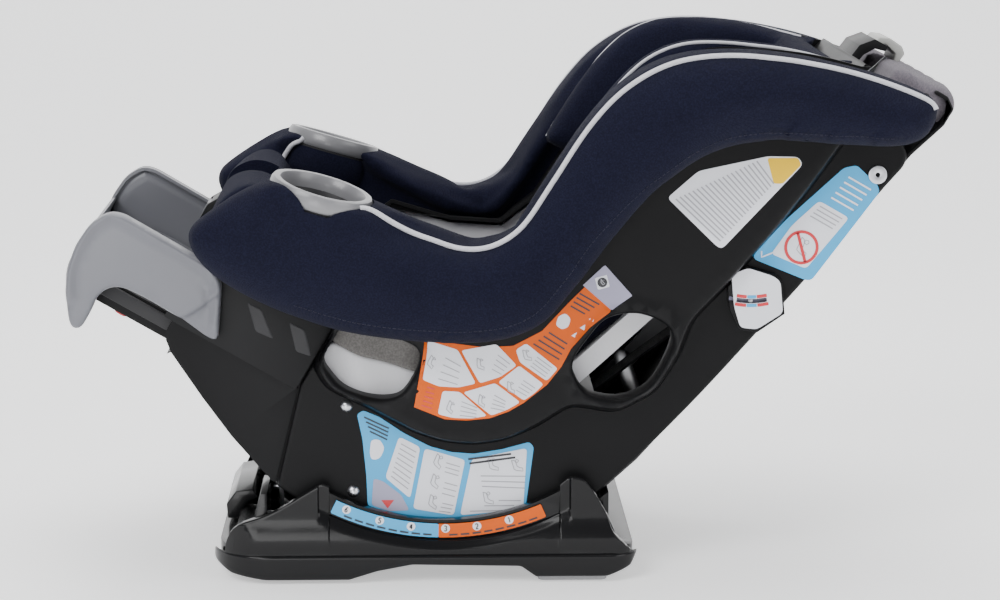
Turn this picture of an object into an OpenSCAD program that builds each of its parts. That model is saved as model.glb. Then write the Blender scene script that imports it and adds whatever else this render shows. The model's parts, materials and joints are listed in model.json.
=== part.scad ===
// Convertible child car seat: a rocking seat shell on a cradle base, with a sliding
// leg-room panel, a height-adjustable headrest and a five-point harness.
// The seat is drawn upright and level about its recline pivot, then tilted by "recline".

/* [Seat] */
// Tilt of the seat back from upright, as it stands
recline = 30; // [24:1:30]
// Lean of the backrest from the vertical when the seat is upright
back_lean = 18; // [17:0.5:19]
// Half the width over the cup holders
half_w = 238; // [236:1:242]
// Half the clear width between the side wings
bucket_w = 146; // [145:1:147]

/* [Base] */
// Length of the base
base_l = 384; // [380:1:392]
// Width of the base over its lower rim
base_w = 340; // [332:1:348]
// Radius of the rocker under the seat
rocker_r = 248; // [246:1:249]

/* [Cup holders] */
// Outer diameter of a cup holder's rim
cup_rim_d = 95; // [90:1:96]
// Inner diameter of a cup
cup_d = 73; // [68:1:74]
// Depth of a cup
cup_depth = 52; // [40:1:54]

/* [Harness] */
// Width of the webbing
web_w = 38; // [32:1:40]
// Thickness of the webbing
web_t = 2; // [1.6:0.2:2.4]

/* [Hidden] */
$fn = 48;

pivot = [-61.6, 0, 281];        // recline axis, parallel to Y
wall = 5;                     // thickness of the shell mouldings
low_y = 143;                  // outer face of the shell's lower sides
high_y = 165;                 // outer face of the shell's raised sides
skin_y = 168;                 // where the padded side cover starts outside the shell
lean = tan(back_lean);
back_x0 = 128;                // front of the backrest at pivot height
cradle_r = rocker_r + 4;      // radius of the base's cradle
scale_r = 224;                // inner radius of the recline scale
scale_h = 16;                 // height of the recline scale's strip
bolt_x = -17.6;               // recline lock bolt, from the pivot
rod_y = 54;                   // recline pull rods, from the middle
rod_z = 18;                   // height of the pull rods
handle_travel = 12;           // pull of the recline handle
black = [0.05, 0.05, 0.055];
navy = [0.055, 0.06, 0.12];
grey = [0.52, 0.53, 0.56];
white_foam = [0.86, 0.86, 0.87];
steel = [0.68, 0.69, 0.72];
webbing = [0.04, 0.04, 0.045];
red = [0.7, 0.05, 0.05];

// ---------- helpers ----------
function unit(v) = v / norm(v);
function back_x(z, off = 0) = back_x0 + lean * z + off;
function arc(r, a0, a1, n) = [for (i = [0:n]) let (a = a0 + (a1 - a0) * i / n) [r * cos(a), r * sin(a)]];
function cr(p0, p1, p2, p3, t) = 0.5 * (2 * p1 + (p2 - p0) * t
  + (2 * p0 - 5 * p1 + 4 * p2 - p3) * t * t + (3 * p1 - p0 - 3 * p2 + p3) * t * t * t);
// smooth closed curve through the points, n steps a span
function loop_curve(p, n = 3) = let (c = len(p)) [for (i = [0:c - 1], k = [0:n - 1])
  cr(p[(i + c - 1) % c], p[i], p[(i + 1) % c], p[(i + 2) % c], k / n)];
// smooth open curve through the points
function open_curve(p, n = 4) = let (c = len(p)) concat([for (i = [0:c - 2], k = [0:n - 1])
  cr(p[max(i - 1, 0)], p[i], p[i + 1], p[min(i + 2, c - 1)], k / n)], [p[c - 1]]);
// outline of a bent plate of thickness t whose middle follows the points
function side_of(p, i) = let (c = len(p), a = p[max(i - 1, 0)], b = p[min(i + 1, c - 1)], d = unit(b - a))
  [-d[1], d[0]];
function bent(p, t) = concat([for (i = [0:len(p) - 1]) p[i] + side_of(p, i) * t / 2],
  [for (i = [len(p) - 1:-1:0]) p[i] - side_of(p, i) * t / 2]);

// everything on the seat is drawn upright about the pivot
module on_seat() translate(pivot) rotate([0, recline, 0]) children();
// extrudes an (x, z) outline across the width, from y0 to y1
module across(y0, y1) translate([0, y1, 0]) rotate([90, 0, 0]) linear_extrude(y1 - y0) children();
// side: -1 is the child's left, 1 the right
module slab(side, y0, y1) if (side < 0) across(-y1, -y0) children(); else across(y0, y1) children();
// stretches a 1 mm slice from y0 to y1 on one side
module slab_y(side, y0, y1) translate([0, side > 0 ? y0 : -y1, 0]) scale([1, y1 - y0, 1]) children();
module ribbon(p, w, t) {
  // flat webbing along 3-D points, its width kept along Y
  c = len(p);
  function nrm(i) = let (d = unit(p[min(i + 1, c - 1)] - p[max(i - 1, 0)])) unit(cross(d, [0, 1, 0]));
  rings = [for (i = [0:c - 1]) each [for (s = [[-1, -1], [1, -1], [1, 1], [-1, 1]])
    p[i] + [0, s[0] * w / 2, 0] + nrm(i) * s[1] * t / 2]];
  walls = [for (i = [0:c - 2], k = [0:3]) [i * 4 + k, i * 4 + (k + 1) % 4,
    (i + 1) * 4 + (k + 1) % 4, (i + 1) * 4 + k]];
  polyhedron(rings, concat([[3, 2, 1, 0]], walls, [[for (k = [0:3]) (c - 1) * 4 + k]]));
}
module coil(r, wire, pitch, turns, steps = 12, sides = 6) {
  // helical spring along +X
  n = turns * steps;
  function at(i) = let (a = 360 * i / steps) [pitch * i / steps, r * cos(a), r * sin(a)];
  pts = [for (i = [0:n]) let (a = 360 * i / steps, out = [0, cos(a), sin(a)], along = [1, 0, 0])
    each [for (k = [0:sides - 1]) let (b = 360 * k / sides) at(i) + wire / 2 * (out * cos(b)
      + along * sin(b))]];
  walls = [for (i = [0:n - 1], k = [0:sides - 1]) let (m = (k + 1) % sides)
    [i * sides + k, (i + 1) * sides + k, (i + 1) * sides + m, i * sides + m]];
  polyhedron(pts, concat([[for (k = [0:sides - 1]) k]], walls,
    [[for (k = [sides - 1:-1:0]) n * sides + k]]));
}

// ---------- outlines of the seat, in (x, z) about the pivot ----------
wing_points = [[-220, -66], [-212, -35], [-198, -6], [-176, 12], [-137, 22], [-93, 31], [-40, 38], [2, 47],
  [27, 75], [32, 130], [36, 190], [48, 240], [78, 284], [135, 321], [211, 350], [288, 366], [303, 357],
  [305, 335], [290, 315], [239, 287], [190, 262], [150, 225], [122, 168], [108, 107], [101, 57], [92, 15],
  [62, -20], [13, -49], [-52, -76], [-115, -91], [-173, -95], [-208, -86]];
raised_points = [[-64, -87], [-66, -128], [-44, -142], [6, -141], [47, -138], [74, -133], [101, -121],
  [124, -103], [143, -78], [160, -45], [200, -30], [222, 5], [224, 45], [218, 80], [228, 120], [240, 180],
  [249, 240], [254, 290], [262, 328], [200, 325], [140, 300], [95, 262], [72, 215], [66, 150], [62, 80],
  [45, 40], [0, 18], [-60, 4], [-84, -54], [-198, -54], [-203, -72], [-194, -87]];

module wing_2d() polygon(loop_curve(wing_points));
module raised_2d() polygon(raised_points);
module lower_2d() polygon(concat([[-64, -150]], arc(rocker_r, 261, 334.5, 18), [[232, -82], [259, 20],
  [292, 179], [308, 272], [314, 300], [308, 312], [262, 328], [254, 290], [100, 60], [-20, -60],
    [-62, -90]]));
module front_slot_2d() hull() {
  translate([4, -106]) circle(r = 15);
  translate([-34, -112]) circle(r = 20);
  translate([-70, -92]) circle(r = 14);
  translate([4, -78]) circle(r = 16);
}
module rear_slot_2d() hull() {
  translate([170, 6]) circle(r = 31);
  translate([180, 34]) circle(r = 32);
}
rivet_at = [[-18, -148], [27, -215]];
bolt_at = [296, 279];
module frame_2d() polygon(bent(open_curve([[296, 292], [296, 279], [272, 190], [246, 80], [228, -20],
  [190, -110],
  [120, -185], [27, -218], [-6, -190], [-22, -140]], 3), 18));

// ---------- base ----------
base_front = -209; // front end of the base, from the pivot
module base_plan(inset) {
  x0 = base_front + inset;
  x1 = base_front + base_l - inset;
  y = base_w / 2 - inset;
  hull() for (s = [-1, 1]) {
    translate([x0 + 55, s * (y - 55)]) circle(r = 55, $fn = 64);
    translate([x1 - 30, s * (y - 30)]) circle(r = 30, $fn = 64);
  }
}
module base_tray() color(black) translate([pivot[0], 0, 0]) difference() {
  union() {
    difference() {
      intersection() {
        linear_extrude(40) base_plan(0);
        across(-base_w / 2 - 1, base_w / 2 + 1) polygon([[-215, 32], [-215, 16], [-198, 8], [-165, 4],
          [-88, 4],
          [-62, 12], [-30, 18], [70, 16], [84, 6], [150, 6], [172, 14], [180, 32]]);
      }
      translate([0, 0, 22]) linear_extrude(20) base_plan(22);
    }
    translate([-172, -72, 4]) cube([186, 144, 18]);
    translate([-181, -72, 6]) cube([10, 144, 16]);
  }
  // channel for the recline mechanism, with a rib that the springs push on
  difference() {
    union() {
      translate([-168, -68, 7]) cube([178, 136, 40]);
      translate([-177, -68, 13]) cube([10, 136, 40]);
    }
    translate([-152, -70, 0]) cube([3, 140, 23]);
  }
  for (s = [-1, 1]) translate([-160, s * rod_y, rod_z]) rotate([0, 90, 0]) cylinder(d = 7, h = 16);
  for (s = [-1, 1], x = [-165, 148]) translate([x, s * 152.5, -1]) {
    cylinder(d = 9.6, h = 23);
    cylinder(d = 4.4, h = 40);
  }
}
module base_feet() color([0.12, 0.12, 0.13]) translate([pivot[0], 0, 0]) {
  // rubber pads, one under the front and two under the back
  translate([-126, 0, 0]) linear_extrude(4) offset(r = 12) square([52, 240], center = true);
  for (s = [-1, 1]) translate([118, s * 128, 0]) linear_extrude(6) offset(r = 6) square([52, 56],
    center = true);
}
module base_wall_2d() difference() {
  polygon([[-195, 32], [-194, 48], [-186, 55], [-160, 63], [-124, 84], [-108, 90], [108, 90], [118, 94],
    [130, 90],
    [150, 62], [163, 32]]);
  translate([0, pivot[2]]) circle(r = scale_r, $fn = 128);
}
module base_shell() color(black) translate([pivot[0], 0, 0]) {
  difference() {
    for (s = [-1, 1]) slab(s, 147, 158) base_wall_2d();
    for (s = [-1, 1], x = [-165, 148]) translate([x, s * 152.5, 31]) cylinder(d = 4.2, h = 13);
  }
  // cradle under the rocker, with a window for the lock bolt
  difference() {
    across(-147, 147) difference() {
      intersection() {
        translate([-148, 22]) square([300, 80]);
        translate([0, pivot[2]]) circle(r = cradle_r + 5, $fn = 128);
      }
      translate([0, pivot[2]]) circle(r = cradle_r, $fn = 128);
    }
    translate([bolt_x - 8, -34, 0]) cube([16, 68, 200]);
  }
  // front and back walls
  difference() {
    across(-147, 147) polygon([[-195, 32], [-193, 46], [-186, 50], [-178, 50], [-170, 80], [-164, 80],
      [-164, 32]]);
    translate([-200, -71, 31]) cube([40, 142, 60]);
  }
  across(-147, 147) polygon([[152, 32], [152, 78], [146, 73], [146, 32]]);
}
module base_screws() color(steel) translate([pivot[0], 0, 0])
  for (s = [-1, 1], x = [-165, 148]) translate([x, s * 152.5, 18]) {
    cylinder(d = 9, h = 4);
    translate([0, 0, 4]) cylinder(d = 4, h = 20);
  }
module recline_scale(side) color([0.45, 0.68, 0.85]) translate([pivot[0], 0, pivot[2]])
  slab(side, 158, 158.4) polygon(concat(arc(scale_r + 1, 244, 296, 26), arc(scale_r + scale_h, 296, 244,
    26)));
module recline_handle() color(grey) translate([pivot[0], 0, 0]) {
  across(-62, 62) polygon([[-206, 36], [-207, 50], [-198, 62], [-182, 64], [-176, 56], [-186, 52],
    [-192, 44], [-192, 36]]);
  for (s = [-1, 1]) slab(s, 48, 60) polygon([[-192, 36], [-192, 46], [-168, 46], [-168, 36]]);
}
// two rods from the handle, each ending in a plate whose slanted slot draws the bolt down
module recline_pull_rods() color(steel) translate([pivot[0], 0, 0]) for (s = [-1, 1]) {
  translate([-158, s * rod_y, rod_z]) rotate([0, 90, 0]) cylinder(d = 5, h = 128.5);
  translate([-117, s * rod_y, rod_z]) rotate([0, 90, 0]) cylinder(d = 9, h = 3);
  translate([-162, s * rod_y - 2.5, rod_z - 2.5]) cube([4, 5, 25.5]);
  translate([-168, s * rod_y, 38.5]) rotate([0, 90, 0]) cylinder(d = 5, h = 6);
  difference() {
    translate([-30, s * rod_y - 2, 8]) cube([38, 4, 14.8]);
    translate([bolt_x, s * rod_y + 5, rod_z]) rotate([90, atan(0.5), 0]) {
      cylinder(d = 6, h = 10);
      translate([handle_travel / cos(atan(0.5)), 0, 0]) cylinder(d = 6, h = 10);
      translate([0, -3, 0]) cube([handle_travel / cos(atan(0.5)), 6, 10]);
    }
  }
}
module recline_lock_bolt() color(steel) translate([pivot[0] + bolt_x, 0, 0]) {
  translate([-5, -28, 13.5]) cube([10, 56, 19]);
  for (s = [-1, 1]) translate([0, s * 28 + (s > 0 ? 30 : 0), rod_z]) rotate([90, 0, 0]) cylinder(d = 5,
    h = 30);
}
module recline_springs() color(steel) translate([pivot[0] - 148.3, 0, rod_z])
  for (s = [-1, 1]) translate([0, s * rod_y, 0]) coil(4.6, 1.2, 3.93, 7.75);

// ---------- shell ----------
module ridge_2d() difference() {
  raised_2d();
  offset(delta = -4) raised_2d();
}
module shell_side(side) color(black) on_seat() difference() {
  union() {
    slab(side, low_y - wall, low_y) difference() {
      lower_2d();
      offset(delta = -4) raised_2d();
    }
    // step from the lower face out to the raised one
    slab(side, low_y - wall, 152) intersection() {
      ridge_2d();
      lower_2d();
    }
    slab(side, 151, high_y) ridge_2d();
    slab(side, high_y - 4, high_y) raised_2d();
    // rims round both belt slots
    slab(side, 151, high_y) offset(delta = 4) front_slot_2d();
    slab(side, low_y - wall, high_y) offset(delta = 4) rear_slot_2d();
  }
  slab(side, 100, 200) {
    front_slot_2d();
    rear_slot_2d();
  }
  for (p = rivet_at) translate([p[0],
    side * 140, p[1]]) rotate([90, 0, 0]) cylinder(d = 6.4, h = 20, center = true);
  translate([bolt_at[0], side * 140, bolt_at[1]]) rotate([90, 0, 0]) cylinder(d = 8.4, h = 20, center = true);
}
module shell_front() color(black) on_seat() difference() {
  union() {
  for (s = [-1, 1]) {
    slab(s, 138, low_y) polygon([[-65.5, -156], [-196, -156], [-196, -168], [-192, -176], [-182, -184],
      [-138, -206],
      [-96, -225], [-55, -239.5], [-41, -243.5], [-41, -240]]);
    slab(s, 146, 151) polygon([[-204, -86], [-204, -152], [-67, -152], [-67, -86]]);
    slab(s, 138, 151) polygon([[-196, -156], [-67, -156], [-67, -152], [-204, -152], [-204, -156]]);
  }
  across(-138, 138) polygon([[-185, -188], [-182, -184], [-138, -206], [-96, -225], [-55, -239.5],
    [-39.5, -244],
    [-39.5, -240], [-55, -235.5], [-96, -221], [-138, -202], [-181, -180.5]]);
  across(-146, 146) polygon([[-204, -86], [-204, -156], [-200.5, -156], [-200.5, -86]]);
  }
  // notches in the lower lip that the panel's release buttons pass through
  for (s = [-1, 1]) translate([-188, s * button_y - 8.5, -190]) cube([17, 17, 20]);
}
module shell_rocker() color(black) on_seat() difference() {
  across(-138, 138) difference() {
    intersection() {
      circle(r = rocker_r, $fn = 128);
      polygon(concat([[0, 0]], [for (a = [261:8:333]) 400 * [cos(a), sin(a)]], [400 * [cos(334), sin(334)]]));
    }
    circle(r = rocker_r - 4, $fn = 128);
  }
  // rack of lock notches
  for (k = [0:5]) rotate([0, -(266 + 7.5 * k), 0]) translate([rocker_r - 8, -31, -6]) cube([12, 62, 12]);
}
module shell_rear() color(black) on_seat() across(-137.5, 137.5)
  polygon(bent([[226, -100], [239, -60], [257, 20], [290, 179], [306, 272], [313, 310], [325, 348],
    [325, 364],
    [316, 370], [304, 370]], 4));
module shell_back() color(black) on_seat() {
  difference() {
    across(-137, 137) polygon([[back_x(76, 40), 76], [back_x(360, 40), 360], [back_x(360, 45), 360],
      [back_x(76, 45), 76]]);
    // slots that the shoulder straps pass through at each headrest height
    for (s = [-1, 1]) translate([0, s * 52, 0]) across(-16, 16)
      polygon([[back_x(110, 20), 110], [back_x(290, 20), 290], [back_x(290, 60), 290],
        [back_x(110, 60), 110]]);
  }
  // racks with ten notches for the headrest's lock wire
  for (s = [-1, 1]) slab(s, 23, 29) difference() {
    polygon([[back_x(180, 32.5), 180], [back_x(352, 32.5), 352], [back_x(352, 40), 352],
      [back_x(180, 40), 180]]);
    for (k = [0:9]) let (z = lock_z + k * headrest_travel * cos(back_lean) / 9)
      translate([back_x(z, lock_off), z]) circle(d = 11);
  }
}
module shell_pan() color(black) on_seat() across(-131, 131)
  polygon(bent([[-192, -99], [-104, -99], [-92, -118], [-74, -139], [20, -141], [62, -126], [102, -90],
    [140, -50],
    [160, -36], [180, -32]], 5));

// ---------- steel frame ----------
module frame_bar(side) color(steel) on_seat() difference() {
  slab(side, 132, 136) frame_2d();
  for (p = rivet_at) translate([p[0],
    side * 134, p[1]]) rotate([90, 0, 0]) cylinder(d = 6.4, h = 20, center = true);
  translate([bolt_at[0], side * 134, bolt_at[1]]) rotate([90, 0, 0]) cylinder(d = 8.4, h = 20, center = true);
}
module frame_cross_tubes() color(steel) on_seat() for (p = [[264, 190], [222, -20], [110, -184]])
  translate([p[0], 0, p[1]]) rotate([90, 0, 0]) difference() {
    cylinder(d = 16, h = 263.6, center = true);
    cylinder(d = 12, h = 270, center = true);
  }
module frame_rivets() color(steel) on_seat() for (s = [-1, 1], p = rivet_at)
  translate([p[0], s * low_y, p[1]]) rotate([-90 * s, 0, 0]) {
    intersection() {
      translate([0, 0, -2]) sphere(r = 6.2);
      cylinder(d = 13, h = 8);
    }
    translate([0, 0, -14]) cylinder(d = 6, h = 14.5);
  }
module frame_bolts() color(steel) on_seat() for (s = [-1, 1])
  translate([bolt_at[0], s * low_y, bolt_at[1]]) rotate([-90 * s, 0, 0]) difference() {
    union() {
      cylinder(d = 17, h = 2.5);
      translate([0, 0, -14]) cylinder(d = 8, h = 16);
    }
    translate([0, 0, -1]) cylinder(d = 4, h = 5);
  }

// ---------- foam and padding ----------
module seat_foam() color(white_foam) on_seat() across(-136, 136)
  polygon([[-192, -80], [-192, -94], [88, -94], [104, -82], [88, -80]]);
module back_foam() color(white_foam) on_seat() difference() {
  across(-136, 136) polygon([[back_x(-26, 19), -26], [back_x(352, 19), 352], [back_x(352, 38), 352],
    [back_x(-26, 38), -26]]);
  // channel for the headrest's lock wire and rack
  across(-34, 34) polygon([[back_x(175, 15), 175], [back_x(360, 15), 360], [back_x(360, 45), 360],
    [back_x(175, 45), 175]]);
}
module side_foam(side) color(white_foam) on_seat() slab(side, 151, 159.5) difference() {
  offset(delta = -8) raised_2d();
  offset(delta = 8) front_slot_2d();
  offset(delta = 8) rear_slot_2d();
  translate([-260, -160]) square([175, 150]);
}
module seat_cushion() color(navy) on_seat() across(-(bucket_w - 1), bucket_w - 1)
  polygon([[-208, -78], [-206, -58], [-192, -47], [-100, -48], [100, -60], [104, -72], [96, -78]]);
module back_cushion() color(navy) on_seat() across(-(low_y - 6), low_y - 6)
  polygon([[back_x(-58), -58], [back_x(352), 352], [back_x(352, 18), 352], [back_x(-58, 18), -58]]);
cup_mid = [-137, half_w - 48, 18]; // centre of a cup holder's rim
module at_cup(side) translate([cup_mid[0], side * cup_mid[1],
  cup_mid[2]]) rotate([-5 * side, -14, 0]) children();
module bolster(side) color(navy) on_seat() difference() {
  union() {
    slab(side, skin_y, half_w - 4) wing_2d();
    // rounded top rim over the shell's edge, down to the inner face
    slab(side, bucket_w, skin_y) difference() {
      wing_2d();
      offset(delta = 2) raised_2d();
      polygon(concat(arc(rocker_r, 261, 334.5, 6), [[400, 100], [400, 400], [262, 400], [262, 310],
        [254, 240]]));
    }
    slab(side, bucket_w, 150) difference() {
      wing_2d();
      lower_2d();
      offset(delta = 5) rear_slot_2d();
      polygon([[-260, -40], [-260, -160], [400, -160], [400, 300], [120, 60], [100, -40]]);
    }
  }
  at_cup(side) translate([0, 0, -cup_depth - 3]) {
    cylinder(r = cup_d / 2 + 3.5, h = 100);
    translate([0, 0, cup_depth - 3]) cylinder(r = cup_rim_d / 2 + 1, h = 60);
  }
  // clears the sliding panel's side wall
  slab(side, 100, 176) translate([-300, -160]) square([240, 74]);
}
module cup_holder(side) color(grey) on_seat() at_cup(side) difference() {
  union() {
    translate([0, 0, -cup_depth]) cylinder(r = cup_d / 2 + 2.5, h = cup_depth);
    translate([0, 0, -4]) cylinder(r = cup_rim_d / 2 - 2, h = 4.01);
    cylinder(r1 = cup_rim_d / 2, r2 = cup_rim_d / 2 - 2, h = 8);
  }
  translate([0, 0, 2.5 - cup_depth]) cylinder(r1 = cup_d / 2 - 2, r2 = cup_d / 2, h = cup_depth);
  translate([0, 0, 2]) cylinder(r = cup_d / 2, h = 10);
}

// ---------- level indicator ----------
level_mid = [254, 122];     // middle of the housing
level_r = 70;               // radius of the ball's track
lock_z = 190;               // height of the headrest's lock wire, and its depth behind the back's face
lock_off = 28.5;
headrest_travel = 150;
track = [level_mid[0] - level_r * sin(30), level_mid[1] + level_r * cos(30)]; // centre of the track
// part of a ring about the track's centre, w wide and within a of the middle
module track_2d(w, a) translate(track) intersection() {
  difference() {
    circle(r = level_r + w / 2, $fn = 96);
    circle(r = level_r - w / 2, $fn = 96);
  }
  polygon([[0, 0], for (k = [-a, 0, a]) 120 * [cos(300 + k), sin(300 + k)]]);
}
module level_housing(side) color(black) on_seat() difference() {
  slab(side, low_y, low_y + 9) difference() {
    polygon([[223, 131], [234, 147], [262, 154], [270, 151], [287, 127], [274, 100], [259, 94], [241, 106]]);
    offset(delta = 0.5) raised_2d();
  }
  slab(side, low_y + 2, low_y + 7.5) track_2d(10, 22);
  slab(side, low_y + 7, low_y + 10) track_2d(3.2, 20);
}
module level_ball(side) color([0.8, 0.85, 0.95]) on_seat()
  translate([level_mid[0], side * (low_y + 4.7), level_mid[1]]) sphere(d = 4.8);

// ---------- harness ----------
function web(y0, y1, p) = [for (i = [0:len(p) - 1]) [p[i][0], y0 + (y1 - y0) * i / (len(p) - 1), p[i][1]]];
shoulder_path = open_curve([[163, 124], [150, 116], [143, 90], [135.5, 58], [126.9, 28.8], [118.4, 15.2],
  [110, 1.8],
  [101.5, -11.8], [88, -27.5], [68, -33.6], [46, -35.8]], 3);
module crotch_strap() color(webbing) on_seat() ribbon(web(0, 0, open_curve([[-52, -45], [-42, -42],
  [-28, -41]], 3)), web_w, web_t);
module buckle_housing() color(black) on_seat() translate([-27, 0, -46]) difference() {
  translate([0, -26, 1]) cube([50, 52, 18]);
  translate([12, -15, 7.5]) cube([26, 30, 14]);
  translate([36, -24, 5]) cube([20, 48, 5]);
}
module buckle_button() color(red) on_seat() translate([-14.5, -14.5, -34]) cube([25, 29, 8]);
module buckle_tongues() color(steel) on_seat() for (s = [-1, 1])
  translate([10, s * 12.5, -40.5]) difference() {
    translate([0, -9.5, 0]) cube([40, 19, 3]);
    translate([22, -6, -1]) cube([10, 12, 5]);
  }
module lap_straps() color(webbing) on_seat() for (s = [-1, 1])
  ribbon([for (q = [[44, 26], [56, 60], [80, 100], [104, 132]]) [q[0], s * q[1],
    -46 + 2.4 * pow(q[0] / 100, 2)]], 30, web_t);
module shoulder_strap(side) color(webbing) on_seat() ribbon(web(side * 50, side * 24, shoulder_path),
  web_w, web_t);
module shoulder_pads() color([0.07, 0.07, 0.08]) on_seat() for (s = [-1, 1])
  ribbon(web(s * 49.5, s * 38, open_curve([[140.5, 104], [135.5, 84], [124.5, 50], [119, 36]], 3)), 56, 7);
module at_clip() on_seat() translate([110, 0, 1.8]) rotate([0, -58, 0]) children();
module chest_clip() color(black) at_clip() difference() {
  for (s = [-1, 1]) slab_y(s, 0.4, 58) translate([-13, 0, -5]) cube([26, 1, 11]);
  for (s = [-1, 1]) slab_y(s, 12, 55.5) translate([-15, 0, -2.4]) cube([30, 1, 4.8]);
  translate([-8.5, -9.5, 0]) cube([17, 19, 8]);
}
module chest_clip_button() color(grey) at_clip() translate([-8, -9, 3.5]) cube([16, 18, 3.5]);
module harness_splitter() color(steel) on_seat() translate([250, 0, 110]) rotate([0, 12, 0]) difference() {
  translate([-1.5, -48, 0]) cube([3, 96, 34]);
  for (s = [-1, 1]) translate([-5, s * 26 - 19, 22]) cube([10, 38, 4]);
  translate([-5, -19, 6]) cube([10, 38, 4]);
}
module adjuster_strap() color(webbing) on_seat()
  ribbon(web(0, 0, open_curve([[249, 108], [236, 60], [214, 10], [188, -50], [150, -110], [90, -149],
    [0, -151],
    [-120, -151], [-180, -145], [-196, -120], [-196.5, -84]], 3)), web_w, web_t);
module adjuster_housing() color(black) on_seat() difference() {
  across(-27, 27) polygon([[-219, -84], [-219, -66], [-213, -56], [-209, -56], [-209, -90], [-213, -90]]);
  translate([-221, -19, -80]) cube([9, 38, 16]);
}
module adjuster_lever() color(grey) on_seat() translate([-214.5, 0, -67]) rotate([90, 0, 0]) {
  cylinder(d = 4, h = 36, center = true);
  translate([-5, -11, -16]) cube([4, 12, 32]);
}

// ---------- headrest ----------
headrest_front = [[41, 134], [43, 170], [46, 206], [52, 240], [64, 272], [88, 299], [132, 323], [174, 341],
  [216, 353]];
module headrest_2d(inset, behind) polygon(concat([for (p = open_curve(headrest_front, 3)) p + [inset,
  inset * 0.2]],
  [[back_x(360, behind), 360], [back_x(136, behind), 136]]));
module headrest_shell() color(black) on_seat() {
  for (s = [-1, 1]) slab(s, 139, 143) headrest_2d(16, -5);
  across(-139, 139) polygon([[back_x(136, -10), 136], [back_x(360, -10), 360], [back_x(360, -5), 360],
    [back_x(136, -5), 136]]);
  // neck that carries the handle over the top of the back
  difference() {
    across(-44, 44) polygon([[236, 356], [238, 372], [248, 384], [262, 384], [262, 379], [252, 376],
      [246, 366], [244, 356]]);
    translate([250, -33, 365]) cube([30, 66, 30]);
  }
}
module headrest_foam() color(white_foam) on_seat() {
  for (s = [-1, 1]) slab(s, 122, 138.5) headrest_2d(8, -11);
  across(-122, 122) polygon([[back_x(140, -24), 140], [back_x(356, -24), 356], [back_x(356, -10.5), 356],
    [back_x(140, -10.5), 140]]);
}
module headrest_pad() color(navy) on_seat() {
  for (s = [-1, 1]) slab(s, 106, 121.5) headrest_2d(0, -25);
  across(-106, 106) polygon([[back_x(136, -42), 136], [back_x(352, -42), 352], [back_x(352, -24.5), 352],
    [back_x(136, -24.5), 136]]);
}
module headrest_handle() color([0.75, 0.75, 0.73]) on_seat() across(-31, 31)
  polygon([[251, 379], [253, 388], [262, 392], [276, 391], [282, 386], [281, 376], [276, 375], [274, 382],
    [262, 385],
    [256, 382], [255, 376]]);
// wire loop from the handle down behind the back cushion to the rack
module headrest_lock_wire() color(steel) on_seat() {
  for (s = [-1, 1]) translate([back_x(lock_z, lock_off), s * 20, lock_z]) rotate([0, back_lean, 0])
    cylinder(d = 5, h = (374.2 - lock_z) / cos(back_lean));
  translate([back_x(lock_z, lock_off), 0, lock_z]) rotate([90, 0, 0]) cylinder(d = 6, h = 58, center = true);
}

// ---------- sliding leg-room panel ----------
panel_in = 154;
panel_out = 172;
button_y = 100;               // release buttons under the panel, from the middle
panel_points = [[-152, -149], [-154, -143], [-174, -101], [-184, -94], [-200, -91], [-282, -90],
  [-294, -95], [-303, -112],
  [-305, -135], [-301, -158], [-292, -178], [-276, -200], [-270, -203], [-264, -199], [-264, -180],
    [-266, -166],
  [-260, -153], [-248, -147], [-223, -146], [-190, -147], [-160, -151]];
module panel_2d() polygon(panel_points);
module extension_panel() color(grey) on_seat() {
  for (s = [-1, 1]) slab(s, panel_in, panel_out) panel_2d();
  // low curved front between the sides
  across(-panel_in, panel_in) polygon([[-304, -138], [-301, -158], [-293, -177], [-279, -197], [-275, -195],
    [-289, -175], [-297, -157], [-300, -138]]);
  // rounded corners up to the full height
  for (s = [-1, 1]) slab(s, 128, panel_in) polygon([[-294, -96], [-303, -113], [-304, -138], [-300, -138],
    [-299, -114], [-290.5, -99]]);
}
module extension_tray() color(black) on_seat() {
  translate([-294, -134, -162]) cube([11, 268, 4.5]);
  difference() {
    translate([-284, -118, -180]) cube([170, 236, 22.5]);
    translate([-275, -114, -176]) cube([180, 228, 30]);
    for (s = [-1, 1]) translate([-240, s * button_y, -182]) cylinder(d = 13, h = 8);
  }
}
module extension_rails() color(steel) on_seat() for (s = [-1, 1])
  translate([-283, s > 0 ? 118 : -124, -172]) cube([215, 6, 12]);
module extension_button(side) color(red) on_seat() translate([-240, side * button_y, -184]) {
  cylinder(d = 12, h = 9);
  translate([0, 0, 8.5]) cylinder(d = 18, h = 2);
}

// ---------- one line a node ----------
base_shell();
base_tray();
base_feet();
base_screws();
recline_scale(-1);  // recline_scale_left
recline_scale(1);  // recline_scale_right
recline_handle();
recline_pull_rods();
recline_lock_bolt();
recline_springs();
shell_side(-1);  // shell_side_left
shell_side(1);  // shell_side_right
shell_front();
shell_rocker();
shell_rear();
shell_back();
shell_pan();
frame_bar(-1);  // frame_bar_left
frame_bar(1);  // frame_bar_right
frame_cross_tubes();
frame_rivets();
frame_bolts();
seat_foam();
back_foam();
side_foam(-1);  // side_foam_left
side_foam(1);  // side_foam_right
seat_cushion();
back_cushion();
bolster(-1);  // bolster_left
bolster(1);  // bolster_right
cup_holder(-1);  // cup_holder_left
cup_holder(1);  // cup_holder_right
level_housing(-1);  // level_housing_left
level_housing(1);  // level_housing_right
level_ball(-1);  // level_ball_left
level_ball(1);  // level_ball_right
crotch_strap();
buckle_housing();
buckle_button();
buckle_tongues();
lap_straps();
shoulder_strap(-1);  // shoulder_strap_left
shoulder_strap(1);  // shoulder_strap_right
shoulder_pads();
chest_clip();
chest_clip_button();
harness_splitter();
adjuster_strap();
adjuster_housing();
adjuster_lever();
headrest_shell();
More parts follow.
